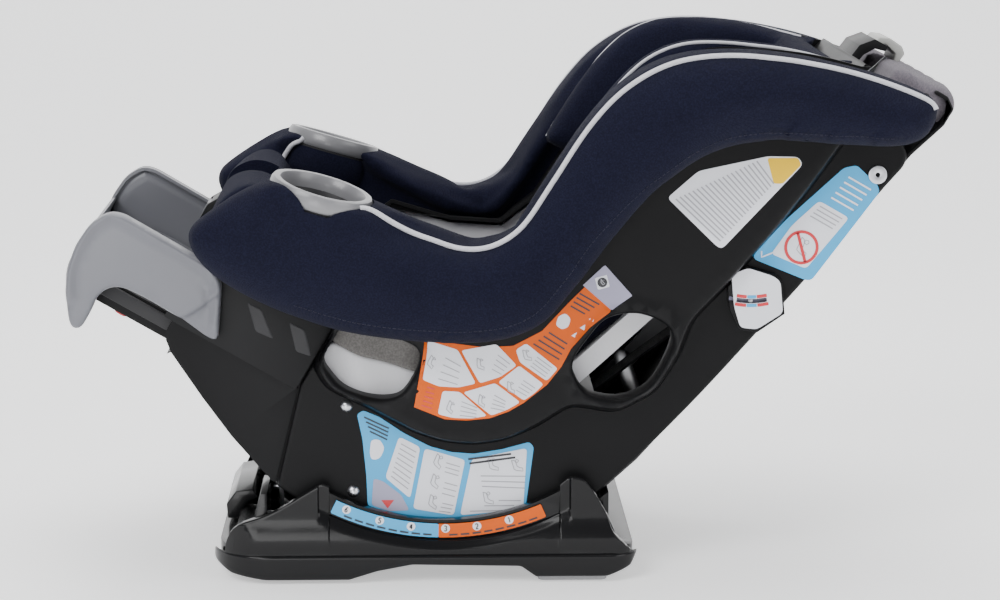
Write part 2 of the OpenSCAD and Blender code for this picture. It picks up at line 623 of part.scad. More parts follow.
headrest_foam();
headrest_pad();
headrest_handle();
headrest_lock_wire();
extension_panel();
extension_tray();
extension_rails();
extension_button(-1);  // extension_button_left
extension_button(1);  // extension_button_right
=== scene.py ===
"""Convertible child car seat: the finished looks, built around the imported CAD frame.

Sizes are in millimetres where they describe the seat and turn to metres in seat() and base().
The seat's own directions are x to the back, y to the child's right and z up, about the recline
pivot and with the seat upright; the base's are the same without the tilt, from the floor up.
"""

import json
import math

import bmesh
import bpy
import numpy as np
from mathutils import Matrix, Vector
from mathutils.geometry import delaunay_2d_cdt


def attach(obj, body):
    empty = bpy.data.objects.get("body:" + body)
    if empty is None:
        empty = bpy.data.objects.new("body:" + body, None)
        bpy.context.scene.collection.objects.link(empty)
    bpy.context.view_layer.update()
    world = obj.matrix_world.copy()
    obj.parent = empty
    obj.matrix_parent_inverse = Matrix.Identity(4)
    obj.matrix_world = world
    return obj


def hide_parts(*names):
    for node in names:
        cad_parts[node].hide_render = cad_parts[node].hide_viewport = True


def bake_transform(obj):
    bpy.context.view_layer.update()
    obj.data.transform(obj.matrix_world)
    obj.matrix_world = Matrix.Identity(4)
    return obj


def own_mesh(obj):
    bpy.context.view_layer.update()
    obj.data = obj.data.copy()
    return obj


bl_info = {
    "name": "Convertible Car Seat",
    "version": (1, 0, 0),
    "blender": (4, 5, 0),
    "location": "View3D > Sidebar > Car Seat",
    "description": "Builds the covers, mouldings and prints of a child's car seat around its frame",
    "category": "Object",
}

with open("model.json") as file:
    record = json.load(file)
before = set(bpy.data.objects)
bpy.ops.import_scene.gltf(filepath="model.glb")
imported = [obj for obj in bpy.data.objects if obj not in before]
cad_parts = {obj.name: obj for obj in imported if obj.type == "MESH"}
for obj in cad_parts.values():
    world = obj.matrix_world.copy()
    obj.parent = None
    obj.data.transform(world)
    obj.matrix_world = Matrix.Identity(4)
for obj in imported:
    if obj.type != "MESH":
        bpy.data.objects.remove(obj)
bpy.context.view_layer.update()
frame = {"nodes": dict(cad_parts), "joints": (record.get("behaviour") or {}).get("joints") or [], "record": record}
JOINTS = {joint["name"]: joint for joint in frame["joints"]}
BODIES = frame["record"]["behaviour"]["bodies"]
SLOTS = {row["node"]: row["material_slot"] for row in frame["record"]["subparts"]}
PIVOT = Vector(JOINTS["recline"]["pos_m"])
MM = 0.001
TILT = math.radians(30)
LEAN = math.tan(math.radians(18))
LOW_SIDE = 143.0
HIGH_SIDE = 165.0
PIVOT_HEIGHT = PIVOT.z / MM
ROCKER = 248.0
SIDES = {"left": -1, "right": 1}


# ---------------------------------------------------------------- placing and curves


def seat(points):
    """Seat points in millimetres, upright about the pivot, to metres in the frame."""
    p = np.asarray(points, float)
    x, y, z = p[..., 0], p[..., 1], p[..., 2]
    cos, sin = math.cos(TILT), math.sin(TILT)
    return np.stack([PIVOT.x + (x * cos + z * sin) * MM, y * MM, PIVOT.z + (z * cos - x * sin) * MM], -1)


def base(points):
    """Base points in millimetres, from the pivot along x and the floor up, to metres."""
    p = np.asarray(points, float)
    return np.stack([PIVOT.x + p[..., 0] * MM, p[..., 1] * MM, p[..., 2] * MM], -1)


def back_x(z, off=0.0):
    """Depth of the backrest's face at a height, with the seat upright."""
    return 128 + LEAN * z + off


def smooth_curve(points, steps=6, closed=False):
    """Catmull-Rom curve through the points."""
    p = np.asarray(points, float)
    n = len(p)
    spans = n if closed else n - 1
    out = []
    for i in range(spans):
        if closed:
            a, b, c, d = p[(i - 1) % n], p[i], p[(i + 1) % n], p[(i + 2) % n]
        else:
            a, b, c, d = p[max(i - 1, 0)], p[i], p[i + 1], p[min(i + 2, n - 1)]
        for k in range(steps):
            t = k / steps
            out.append(0.5 * (2 * b + (c - a) * t + (2 * a - 5 * b + 4 * c - d) * t * t
                              + (3 * b - a - 3 * c + d) * t ** 3))
    if not closed:
        out.append(p[-1])
    return np.array(out)


def resample(points, step, closed=False):
    """The same line with points every step or so."""
    p = np.asarray(points, float)
    if closed:
        p = np.vstack([p, p[:1]])
    lengths = np.linalg.norm(np.diff(p, axis=0), axis=1)
    total = np.concatenate([[0], np.cumsum(lengths)])
    count = max(3 if closed else 1, int(round(total[-1] / step)))
    at = np.linspace(0, total[-1], count + 1)
    out = np.stack([np.interp(at, total, p[:, k]) for k in range(p.shape[1])], -1)
    return out[:-1] if closed else out


def rounded(points, radius, steps=6):
    """A polygon with its corners rounded."""
    p = np.asarray(points, float)
    n = len(p)
    out = []
    for i in range(n):
        a, b, c = p[i - 1], p[i], p[(i + 1) % n]
        reach_a = min(radius, np.linalg.norm(a - b) * 0.49)
        reach_c = min(radius, np.linalg.norm(c - b) * 0.49)
        start = b + (a - b) / max(np.linalg.norm(a - b), 1e-9) * reach_a
        end = b + (c - b) / max(np.linalg.norm(c - b), 1e-9) * reach_c
        for k in range(steps + 1):
            t = k / steps
            out.append((1 - t) ** 2 * start + 2 * t * (1 - t) * b + t * t * end)
    return np.array(out)


def arc(radius, start, end, count=24):
    """Points on an arc about the pivot, by angles in degrees."""
    angles = np.radians(np.linspace(start, end, count))
    return np.stack([radius * np.cos(angles), radius * np.sin(angles)], -1)


def line_normals(p, closed):
    """Unit normals in the plane, to the left of the line's direction."""
    ahead = np.roll(p, -1, 0) - np.roll(p, 1, 0)
    if not closed:
        ahead[0], ahead[-1] = p[1] - p[0], p[-1] - p[-2]
    ahead /= np.maximum(np.linalg.norm(ahead, axis=1, keepdims=True), 1e-9)
    return np.stack([-ahead[:, 1], ahead[:, 0]], -1)


def inside(loop, points):
    """Which points lie inside the loop."""
    x, y = points[:, 0][:, None], points[:, 1][:, None]
    a, b = loop, np.roll(loop, -1, 0)
    spans = (a[:, 1] > y) != (b[:, 1] > y)
    rise = b[:, 1] - a[:, 1]
    cut = (b[:, 0] - a[:, 0]) * (y - a[:, 1]) / np.where(rise == 0, 1e-9, rise) + a[:, 0]
    return ((spans & (x < cut)).sum(1) % 2) == 1


def nearest(line, points, closed=True):
    """Distance from each point to the line, and the line's closest point."""
    a = line if closed else line[:-1]
    b = np.roll(line, -1, 0) if closed else line[1:]
    ab = b - a
    size = np.maximum((ab ** 2).sum(1), 1e-9)
    best = np.full(len(points), 1e9)
    close = np.zeros((len(points), 2))
    for first in range(0, len(points), 2000):
        part = points[first:first + 2000]
        t = np.clip(((part[:, None] - a) * ab).sum(2) / size, 0, 1)
        foot = a + t[..., None] * ab
        gap = np.linalg.norm(part[:, None] - foot, axis=2)
        pick = gap.argmin(1)
        best[first:first + 2000] = gap[np.arange(len(part)), pick]
        close[first:first + 2000] = foot[np.arange(len(part)), pick]
    return best, close


def ease(t):
    """Smooth step from 0 to 1."""
    t = np.clip(t, 0, 1)
    return t * t * (3 - 2 * t)


# ---------------------------------------------------------------- meshes


class Shape:
    """Vertices, faces and finishes gathered into one object."""

    def __init__(self):
        self.vertices, self.faces, self.kinds, self.materials = [], [], [], []

    def add(self, vertices, faces, material):
        """Adds a part, in metres, with its own material."""
        if material not in self.materials:
            self.materials.append(material)
        start = sum(len(v) for v in self.vertices)
        self.vertices.append(np.asarray(vertices, float).reshape(-1, 3))
        self.faces += [tuple(int(i) + start for i in f) for f in faces]
        self.kinds += [self.materials.index(material)] * len(faces)

    def build(self, name, sharp=None, outward=True):
        """Makes the object, smooth shaded, with edges sharper than the given angle kept."""
        mesh = bpy.data.meshes.new(name)
        mesh.from_pydata([tuple(v) for v in np.vstack(self.vertices)], [], self.faces)
        for material in self.materials:
            mesh.materials.append(material)
        mesh.polygons.foreach_set("material_index", self.kinds)
        if outward:
            turn_outward(mesh)
        mesh.polygons.foreach_set("use_smooth", [True] * len(mesh.polygons))
        if sharp:
            mesh.set_sharp_from_angle(angle=math.radians(sharp))
        piece = bpy.data.objects.new(name, mesh)
        bpy.context.scene.collection.objects.link(piece)
        return piece


def turn_outward(mesh):
    """Points a mesh's faces outward."""
    work = bmesh.new()
    work.from_mesh(mesh)
    bmesh.ops.remove_doubles(work, verts=work.verts, dist=1e-6)
    bmesh.ops.recalc_face_normals(work, faces=work.faces)
    work.to_mesh(mesh)
    work.free()


def settle(piece, body, slot, *replaced):
    """Rides a finished piece on its body and hides the CAD parts it stands in for."""
    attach(piece, body)
    if replaced:
        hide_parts(*replaced)
    return piece


def loft(rings, close_ends=True):
    """Vertices and faces of a tube through closed rings of equal length."""
    rings = [np.asarray(r, float) for r in rings]
    n = len(rings[0])
    faces = [(i * n + k, i * n + (k + 1) % n, (i + 1) * n + (k + 1) % n, (i + 1) * n + k)
             for i in range(len(rings) - 1) for k in range(n)]
    vertices = list(np.vstack(rings))
    if close_ends:
        for first, ring in ((0, rings[0]), ((len(rings) - 1) * n, rings[-1])):
            middle = len(vertices)
            vertices.append(ring.mean(0))
            faces += [(first + k, first + (k + 1) % n, middle) for k in range(n)]
    return np.array(vertices), faces


def lathe(profile, place, steps=72):
    """A closed profile of (radius, height) turned about its own axis and placed."""
    rings = []
    for k in range(steps):
        angle = 2 * math.pi * k / steps
        rings.append([place((r * math.cos(angle), r * math.sin(angle), h)) for r, h in profile])
    n = len(profile)
    faces = [(i * n + k, i * n + (k + 1) % n, ((i + 1) % steps) * n + (k + 1) % n, ((i + 1) % steps) * n + k)
             for i in range(steps) for k in range(n)]
    return np.array(rings).reshape(-1, 3), faces


def triangulate(outline, holes, extra):
    """Points and triangles that fill an outline with holes, through the extra points."""
    points, edges = [], []
    for loop in [outline, *holes]:
        first, n = len(points), len(loop)
        points += [tuple(p) for p in loop]
        edges += [(first + i, first + (i + 1) % n) for i in range(n)]
    fixed = len(points)
    points += [tuple(p) for p in extra]
    made = delaunay_2d_cdt([Vector(p) for p in points], edges, [], 0, 1e-5)
    coords = np.array([tuple(v) for v in made[0]])
    faces = np.array([f for f in made[2] if len(f) == 3])
    middle = coords[faces].mean(1)
    keep = inside(outline, middle)
    for hole in holes:
        keep &= ~inside(hole, middle)
    origin = [o[0] if o else -1 for o in made[3]]
    return coords, faces[keep], origin, fixed


def fill_points(outline, holes, lines, coarse, rings=(0.8, 2.0, 3.6)):
    """Points inside an outline: close to its edges, close to the lines and a loose grid between."""
    found = []
    for loop in [outline, *holes]:
        normals = line_normals(loop, True)
        found += [loop + normals * d * turn for d in rings for turn in (-1, 1)]
    for line, band in lines:
        normals = line_normals(line, False)
        found += [line + normals * d for d in np.linspace(-band, band, 11)]
    near = np.vstack(found)
    low, high = outline.min(0), outline.max(0)
    rows = np.arange(low[1], high[1], coarse * 0.87)
    grid = np.array([(x + (coarse / 2 if k % 2 else 0), z)
                     for k, z in enumerate(rows) for x in np.arange(low[0], high[0], coarse)])
    for loop in [outline, *holes]:
        grid = grid[nearest(loop, grid)[0] > max(rings) + coarse * 0.4]
    for line, band in lines:
        grid = grid[nearest(line, grid, False)[0] > band + coarse * 0.3]
    points = np.vstack([near, grid])
    points = points[inside(outline, points)]
    for hole in holes:
        points = points[~inside(hole, points)]
    for loop in [outline, *holes]:
        points = points[nearest(loop, points)[0] > min(rings) * 0.8]
    cell = np.unique(np.round(points / 0.9).astype(int), axis=0, return_index=True)[1]
    return points[np.sort(cell)]


def moulding(shape, outline, holes, height, rim, side, place, material, wall=3.0, edge=2.5, lines=(),
             coarse=9.0, step=3.0, lip=None):
    """A thin moulded cover: an outer skin over the outline at height(points), rounded at its edges,
    an inner skin a wall's thickness behind it, and edges turned back to the rim's depth."""
    lip = lip or wall
    outline = resample(outline, step, True)
    holes = [resample(h, step * 0.8, True) for h in holes]
    loops = [outline, *holes]
    coords, faces, origin, fixed = triangulate(outline, holes, fill_points(outline, holes, lines, coarse))
    gap = np.full(len(coords), 1e9)
    foot = coords.copy()
    for loop in loops:
        d, close = nearest(loop, coords)
        near = d < gap
        gap[near], foot[near] = d[near], close[near]
    drop = edge - np.sqrt(np.maximum(edge ** 2 - np.maximum(edge - gap, 0) ** 2, 0))
    outer_y = height(coords) - drop
    inward = coords - foot
    size = np.linalg.norm(inward, axis=1, keepdims=True)
    on_edge = np.array([0 <= o < fixed for o in origin])
    normals = np.vstack([line_normals(loop, True) for loop in loops])
    for i in np.flatnonzero(on_edge):
        n = normals[origin[i]]
        test = (coords[i] + n * 0.5)[None]
        solid = inside(outline, test)[0] and not any(inside(h, test)[0] for h in holes)
        inward[i] = n if solid else -n
        size[i] = 1
    reach = np.minimum(gap, 3 * lip)
    back = coords + inward / np.maximum(size, 1e-9) * (lip * (1 - reach / (3 * lip)))[:, None]
    inner_y = np.minimum(height(coords) - wall, outer_y - wall * 0.6)
    count = len(coords)
    rim_y = np.minimum(rim(coords) if callable(rim) else np.full(count, float(rim)), inner_y - 0.5)
    stack = [np.column_stack([coords[:, 0], side * outer_y, coords[:, 1]]),
             np.column_stack([back[:, 0], side * inner_y, back[:, 1]]),
             np.column_stack([coords[:, 0], side * rim_y, coords[:, 1]]),
             np.column_stack([back[:, 0], side * rim_y, back[:, 1]])]
    where = {o: i for i, o in enumerate(origin) if 0 <= o < fixed}
    walls, first = [], 0
    for loop in loops:
        n = len(loop)
        for k in range(n):
            a, b = where.get(first + k), where.get(first + (k + 1) % n)
            if a is None or b is None:
                continue
            walls += [(a, b, 2 * count + b, 2 * count + a), (2 * count + a, 2 * count + b, 3 * count + b, 3 * count + a),
                      (3 * count + a, 3 * count + b, count + b, count + a)]
        first += n
    all_faces = [tuple(f) for f in faces] + [tuple(f + count) for f in faces] + walls
    used = sorted({i for f in all_faces for i in f})
    renumber = {old: new for new, old in enumerate(used)}
    vertices = np.vstack(stack)[used]
    shape.add(place(vertices), [tuple(renumber[i] for i in f) for f in all_faces], material)


def decal(shape, outline, height, lift, side, place, material, coarse=4.5, step=3.0, holes=()):
    """A thin printed film that follows a surface."""
    outline = resample(outline, step, True)
    holes = [resample(h, step, True) for h in holes]
    low, high = outline.min(0), outline.max(0)
    grid = np.array([(x, z) for z in np.arange(low[1], high[1], coarse) for x in np.arange(low[0], high[0], coarse)]
                    or [outline.mean(0)])
    grid = grid[inside(outline, grid)]
    for loop in [outline, *holes]:
        if len(grid):
            grid = grid[nearest(loop, grid)[0] > coarse * 0.3]
    coords, faces, _, _ = triangulate(outline, holes, grid)
    y = height(coords) + lift
    a, b, c = coords[faces[:, 0]], coords[faces[:, 1]], coords[faces[:, 2]]
    turn = (b[:, 0] - a[:, 0]) * (c[:, 1] - a[:, 1]) - (b[:, 1] - a[:, 1]) * (c[:, 0] - a[:, 0])
    longest = np.max([np.linalg.norm(b - a, axis=1), np.linalg.norm(c - b, axis=1), np.linalg.norm(a - c, axis=1)], 0)
    sound = np.abs(turn) > 0.06 * longest
    faces, turn = faces[sound], turn[sound]
    flip = (turn > 0) != (side < 0)
    faces = [tuple(f[::-1]) if back else tuple(f) for f, back in zip(faces, flip)]
    shape.add(place(np.column_stack([coords[:, 0], side * y, coords[:, 1]])), faces, material)


def soften(node, width, material, segments=3, name=None, merge_angle=2.0):
    """A copy of a CAD node with its edges rounded, standing in for the node."""
    source = frame["nodes"][node]
    piece = bpy.data.objects.new(name or node + "_finished", source.data.copy())
    bpy.context.scene.collection.objects.link(piece)
    work = bmesh.new()
    work.from_mesh(piece.data)
    bmesh.ops.remove_doubles(work, verts=work.verts, dist=2e-5)
    bmesh.ops.dissolve_limit(work, angle_limit=math.radians(merge_angle), verts=work.verts, edges=work.edges)
    sharp = [e for e in work.edges if len(e.link_faces) == 2 and e.calc_face_angle(0) > math.radians(28)]
    bmesh.ops.bevel(work, geom=sharp, offset=width * MM, segments=segments, profile=0.5, affect="EDGES",
                    clamp_overlap=True)
    bmesh.ops.triangulate(work, faces=[f for f in work.faces if len(f.verts) > 4])
    work.to_mesh(piece.data)
    work.free()
    piece.data.materials.clear()
    piece.data.materials.append(material)
    piece.data.polygons.foreach_set("use_smooth", [True] * len(piece.data.polygons))
    piece.data.set_sharp_from_angle(angle=math.radians(38))
    settle(piece, body_of(node), slot_of(node), node)
    return piece


def body_of(node):
    """The body that a node belongs to."""
    return next(name for name, nodes in BODIES.items() if node in nodes)


def slot_of(node):
    """The material slot that the record gives a node."""
    return SLOTS[node]


def puff(piece, pressure, cap, hold=None):
    """Fills a padded piece by cloth simulation and keeps each point within the cap, in millimetres."""
    scene = bpy.context.scene
    rest = np.array([v.co for v in piece.data.vertices])
    cloth = piece.modifiers.new("filling", "CLOTH")
    settings = cloth.settings
    settings.use_pressure = True
    settings.uniform_pressure_force = pressure
    settings.effector_weights.gravity = 0
    settings.quality = 4
    settings.mass = 0.2
    settings.tension_stiffness = 25
    settings.compression_stiffness = 25
    if hold is not None:
        group = piece.vertex_groups.new(name="held")
        for i in np.flatnonzero(hold):
            group.add([int(i)], 1.0, "REPLACE")
        settings.vertex_group_mass = "held"
    cloth.point_cache.frame_start = 1
    cloth.point_cache.frame_end = 20
    for number in range(1, 21):
        scene.frame_set(number)
    done = piece.evaluated_get(bpy.context.evaluated_depsgraph_get())
    filled = np.array([v.co for v in done.data.vertices])
    piece.modifiers.remove(cloth)
    scene.frame_set(1)
    move = filled - rest
    size = np.linalg.norm(move, axis=1, keepdims=True)
    move *= np.minimum(1, cap * MM / np.maximum(size, 1e-9))
    piece.data.vertices.foreach_set("co", (rest + move).ravel())
    piece.data.update()


def refine(piece, levels=1):
    """Subdivides a piece's mesh for good."""
    modifier = piece.modifiers.new("refine", "SUBSURF")
    modifier.levels = modifier.render_levels = levels
    freeze(piece)


def freeze(piece):
    """Turns what a piece's modifiers make into its plain mesh."""
    graph = bpy.context.evaluated_depsgraph_get()
    made = bpy.data.meshes.new_from_object(piece.evaluated_get(graph), depsgraph=graph)
    piece.modifiers.clear()
    old, piece.data = piece.data, made
    bpy.data.meshes.remove(old)
    made.polygons.foreach_set("use_smooth", [True] * len(made.polygons))


# ---------------------------------------------------------------- geometry node trees


def add_node(tree, kind, inputs=None, **settings):
    """A new node with its settings, its values and its links."""
    node = tree.nodes.new(kind)
    for key, value in settings.items():
        setattr(node, key, value)
    for key, value in (inputs or {}).items():
        if isinstance(value, bpy.types.NodeSocket):
            tree.links.new(value, node.inputs[key])
        else:
            node.inputs[key].default_value = value
    return node


def geometry_tree(name, sockets):
    """A geometry node tree with a geometry input and output and the named inputs."""
    tree = bpy.data.node_groups.new(name, "GeometryNodeTree")
    tree.interface.new_socket("Geometry", in_out="INPUT", socket_type="NodeSocketGeometry")
    for label, kind in sockets:
        tree.interface.new_socket(label, in_out="INPUT", socket_type=kind)
    tree.interface.new_socket("Geometry", in_out="OUTPUT", socket_type="NodeSocketGeometry")
    return tree, add_node(tree, "NodeGroupInput").outputs


def piping_tree():
    """Welt piping: a round cord along a line."""
    tree, given = geometry_tree("welt_piping", [("Radius", "NodeSocketFloat"), ("Step", "NodeSocketFloat"),
                                                ("Material", "NodeSocketMaterial")])
    line = add_node(tree, "GeometryNodeMeshToCurve", {"Mesh": given["Geometry"]})
    even = add_node(tree, "GeometryNodeResampleCurve", {"Curve": line.outputs[0], "Length": given["Step"]},
                    mode="LENGTH")
    ring = add_node(tree, "GeometryNodeCurvePrimitiveCircle", {"Radius": given["Radius"], "Resolution": 12})
    cord = add_node(tree, "GeometryNodeCurveToMesh",
                    {"Curve": even.outputs[0], "Profile Curve": ring.outputs[0], "Fill Caps": True})
    painted = add_node(tree, "GeometryNodeSetMaterial",
                       {"Geometry": cord.outputs[0], "Material": given["Material"]})
    add_node(tree, "NodeGroupOutput", {"Geometry": painted.outputs[0]})
    return tree


def stitch_tree():
    """A row of stitches along a line."""
    tree, given = geometry_tree("stitch_row", [("Spacing", "NodeSocketFloat"), ("Length", "NodeSocketFloat"),
                                               ("Thickness", "NodeSocketFloat"), ("Material", "NodeSocketMaterial")])
    line = add_node(tree, "GeometryNodeMeshToCurve", {"Mesh": given["Geometry"]})
    even = add_node(tree, "GeometryNodeResampleCurve", {"Curve": line.outputs[0], "Length": given["Spacing"]},
                    mode="LENGTH")
    along = add_node(tree, "GeometryNodeInputTangent")
    turn = add_node(tree, "FunctionNodeAlignRotationToVector", {"Vector": along.outputs[0]}, axis="X")
    ball = add_node(tree, "GeometryNodeMeshUVSphere", {"Segments": 6, "Rings": 4, "Radius": 0.5})
    size = add_node(tree, "ShaderNodeCombineXYZ", {"X": given["Length"], "Y": given["Thickness"],
                                                   "Z": given["Thickness"]})
    rows = add_node(tree, "GeometryNodeInstanceOnPoints",
                    {"Points": even.outputs[0], "Instance": ball.outputs[0], "Rotation": turn.outputs[0],
                     "Scale": size.outputs[0]})
    real = add_node(tree, "GeometryNodeRealizeInstances", {"Geometry": rows.outputs[0]})
    painted = add_node(tree, "GeometryNodeSetMaterial",
                       {"Geometry": real.outputs[0], "Material": given["Material"]})
    add_node(tree, "NodeGroupOutput", {"Geometry": painted.outputs[0]})
    return tree


TREES = {}


def along_lines(name, kind, lines, body, slot, **values):
    """Runs a node tree along lines of points in metres and keeps the plain mesh it makes."""
    if kind not in TREES:
        TREES[kind] = {"piping": piping_tree, "stitches": stitch_tree}[kind]()
    tree = TREES[kind]
    mesh = bpy.data.meshes.new(name)
    vertices, edges = [], []
    for line in lines:
        start = len(vertices)
        vertices += [tuple(p) for p in line]
        edges += [(start + i, start + i + 1) for i in range(len(line) - 1)]
    mesh.from_pydata(vertices, edges, [])
    piece = bpy.data.objects.new(name, mesh)
    bpy.context.scene.collection.objects.link(piece)
    modifier = piece.modifiers.new(kind, "NODES")
    modifier.node_group = tree
    keys = {item.name: item.identifier for item in tree.interface.items_tree if item.in_out == "INPUT"}
    for label, value in values.items():
        modifier[keys[label]] = value
    freeze(piece)
    return settle(piece, body, slot)


# ---------------------------------------------------------------- shader groups and finishes


def shader_group(name, inputs, outputs):
    """An empty shader node group with the named sockets."""
    tree = bpy.data.node_groups.new(name, "ShaderNodeTree")
    for label, kind, value in inputs:
        socket = tree.interface.new_socket(label, in_out="INPUT", socket_type="NodeSocket" + kind)
        if value is not None:
            socket.default_value = value
    for label, kind in outputs:
        tree.interface.new_socket(label, in_out="OUTPUT", socket_type="NodeSocket" + kind)
    return tree, add_node(tree, "NodeGroupInput").outputs


def math_node(tree, operation, a, b=0.0, clamp=False):
    """One sum, and its result."""
    return add_node(tree, "ShaderNodeMath", {0: a, 1: b}, operation=operation, use_clamp=clamp).outputs[0]


def mix_color(tree, factor, a, b):
    """A colour between two, by a factor."""
    mixed = add_node(tree, "ShaderNodeMix", data_type="RGBA")
    sockets = {s.identifier: s for s in mixed.inputs}
    for key, value in (("Factor_Float", factor), ("A_Color", a), ("B_Color", b)):
        if isinstance(value, bpy.types.NodeSocket):
            tree.links.new(value, sockets[key])
        else:
            sockets[key].default_value = value
    return next(s for s in mixed.outputs if s.identifier == "Result_Color")


def knit_group():
    """Fine knitted cloth: loops across the surface, flecks of lighter yarn and soft shading."""
    tree, given = shader_group("fine_knit", [("Vector", "Vector", None), ("Pitch", "Float", 0.0011),
                                             ("Dark", "Color", None), ("Light", "Color", None)],
                               [("Color", "Color"), ("Height", "Float"), ("Roughness", "Float")])
    turns = math_node(tree, "DIVIDE", 2 * math.pi, given["Pitch"])
    scaled = add_node(tree, "ShaderNodeVectorMath", {0: given["Vector"], "Scale": turns}, operation="SCALE")
    axes = add_node(tree, "ShaderNodeSeparateXYZ", {0: scaled.outputs[0]}).outputs
    waves = [math_node(tree, "SINE", axes[k]) for k in range(3)]
    normal = add_node(tree, "ShaderNodeNewGeometry").outputs["Normal"]
    facing = add_node(tree, "ShaderNodeSeparateXYZ", {0: normal}).outputs
    parts = []
    for k in range(3):
        weight = math_node(tree, "POWER", math_node(tree, "ABSOLUTE", facing[k]), 2.0)
        woven = math_node(tree, "MULTIPLY", waves[(k + 1) % 3], waves[(k + 2) % 3])
        parts.append(math_node(tree, "MULTIPLY", woven, weight))
    height = math_node(tree, "ADD", math_node(tree, "ADD", parts[0], parts[1]), parts[2])
    fleck = add_node(tree, "ShaderNodeTexNoise", {"Vector": given["Vector"], "Scale": 620.0, "Detail": 2.0})
    cloud = add_node(tree, "ShaderNodeTexNoise", {"Vector": given["Vector"], "Scale": 14.0, "Detail": 3.0})
    spread = add_node(tree, "ShaderNodeMapRange", {"Value": fleck.outputs[0], "From Min": 0.38, "From Max": 0.72})
    tone = math_node(tree, "ADD", math_node(tree, "MULTIPLY", spread.outputs[0], 0.55),
                     math_node(tree, "MULTIPLY", height, 0.12))
    tone = math_node(tree, "ADD", tone, math_node(tree, "MULTIPLY", cloud.outputs[0], 0.35), True)
    color = mix_color(tree, tone, given["Dark"], given["Light"])
    rough = math_node(tree, "ADD", 0.86, math_node(tree, "MULTIPLY", fleck.outputs[0], 0.12))
    add_node(tree, "NodeGroupOutput", {"Color": color, "Height": height, "Roughness": rough})
    return tree


def grain_group():
    """Moulded plastic: a fine spark-eroded grain, faint handling marks and slightly worn edges."""
    tree, given = shader_group("moulded_grain", [("Vector", "Vector", None), ("Grain Size", "Float", 0.0006),
                                                 ("Color", "Color", None), ("Roughness", "Float", 0.4),
                                                 ("Wear", "Float", 0.3)],
                               [("Color", "Color"), ("Roughness", "Float"), ("Height", "Float")])
    scale = math_node(tree, "DIVIDE", 1.0, given["Grain Size"])
    grain = add_node(tree, "ShaderNodeTexNoise", {"Vector": given["Vector"], "Scale": scale, "Detail": 1.0})
    marks = add_node(tree, "ShaderNodeTexNoise", {"Vector": given["Vector"], "Scale": 9.0, "Detail": 5.0,
                                                  "Roughness": 0.6})
    edge = add_node(tree, "ShaderNodeNewGeometry").outputs["Pointiness"]
    worn = add_node(tree, "ShaderNodeMapRange", {"Value": edge, "From Min": 0.51, "From Max": 0.62})
    worn = math_node(tree, "MULTIPLY", worn.outputs[0], given["Wear"], True)
    lighter = mix_color(tree, 0.5, given["Color"], (0.55, 0.56, 0.58, 1))
    color = mix_color(tree, worn, given["Color"], lighter)
    uneven = math_node(tree, "MULTIPLY", math_node(tree, "SUBTRACT", marks.outputs[0], 0.5), 0.16)
    rough = math_node(tree, "ADD", math_node(tree, "ADD", given["Roughness"], uneven),
                      math_node(tree, "MULTIPLY", worn, 0.2), True)
    add_node(tree, "NodeGroupOutput", {"Color": color, "Roughness": rough, "Height": grain.outputs[0]})
    return tree


def dust_group():
    """A trace of dust on what faces up."""
    tree, given = shader_group("settled_dust", [("Vector", "Vector", None), ("Color", "Color", None),
                                                ("Amount", "Float", 0.05)], [("Color", "Color")])
    up = add_node(tree, "ShaderNodeSeparateXYZ", {0: add_node(tree, "ShaderNodeNewGeometry").outputs["Normal"]})
    level = add_node(tree, "ShaderNodeMapRange", {"Value": up.outputs[2], "From Min": 0.5, "From Max": 1.0})
    patch = add_node(tree, "ShaderNodeTexNoise", {"Vector": given["Vector"], "Scale": 45.0, "Detail": 4.0})
    mask = math_node(tree, "MULTIPLY", math_node(tree, "MULTIPLY", level.outputs[0], patch.outputs[0]),
                     given["Amount"], True)
    add_node(tree, "NodeGroupOutput", {"Color": mix_color(tree, mask, given["Color"], (0.6, 0.58, 0.55, 1))})
    return tree


GROUPS = {}
FINISHES = {}


def use_group(tree, name, inputs):
    """Places a shared shader group in a material."""
    if name not in GROUPS:
        GROUPS[name] = {"knit": knit_group, "grain": grain_group, "dust": dust_group}[name]()
    node = tree.nodes.new("ShaderNodeGroup")
    node.node_tree = GROUPS[name]
    for key, value in inputs.items():
        if isinstance(value, bpy.types.NodeSocket):
            tree.links.new(value, node.inputs[key])
        else:
            node.inputs[key].default_value = value
    return node.outputs


def new_finish(name):
    """A material with its Principled shader, its node tree and the piece's own coordinates."""
    material = bpy.data.materials.new(name)
    material.use_nodes = True
    tree = material.node_tree
    shader = tree.nodes["Principled BSDF"]
    where = tree.nodes.new("ShaderNodeTexCoord").outputs["Object"]
    FINISHES[name] = material
    return material, tree, shader, where


def bump(tree, shader, height, distance, strength=1.0):
    """Feeds a height to the shader's normal."""
    node = add_node(tree, "ShaderNodeBump", {"Height": height, "Distance": distance, "Strength": strength})
    tree.links.new(node.outputs[0], shader.inputs["Normal"])


def plastic(name, color, roughness=0.4, grain=0.0006, depth=0.00002, wear=0.25, coat=0.0, dust=0.04, specular=0.5):
    """Moulded plastic."""
    material, tree, shader, where = new_finish(name)
    made = use_group(tree, "grain", {"Vector": where, "Grain Size": grain, "Color": (*color, 1),
                                     "Roughness": roughness, "Wear": wear})
    dusty = use_group(tree, "dust", {"Vector": where, "Color": made["Color"], "Amount": dust})
    tree.links.new(dusty["Color"], shader.inputs["Base Color"])
    tree.links.new(made["Roughness"], shader.inputs["Roughness"])
    shader.inputs["Coat Weight"].default_value = coat
    shader.inputs["Coat Roughness"].default_value = 0.12
    shader.inputs["Specular IOR Level"].default_value = specular
    bump(tree, shader, made["Height"], depth)
    return material


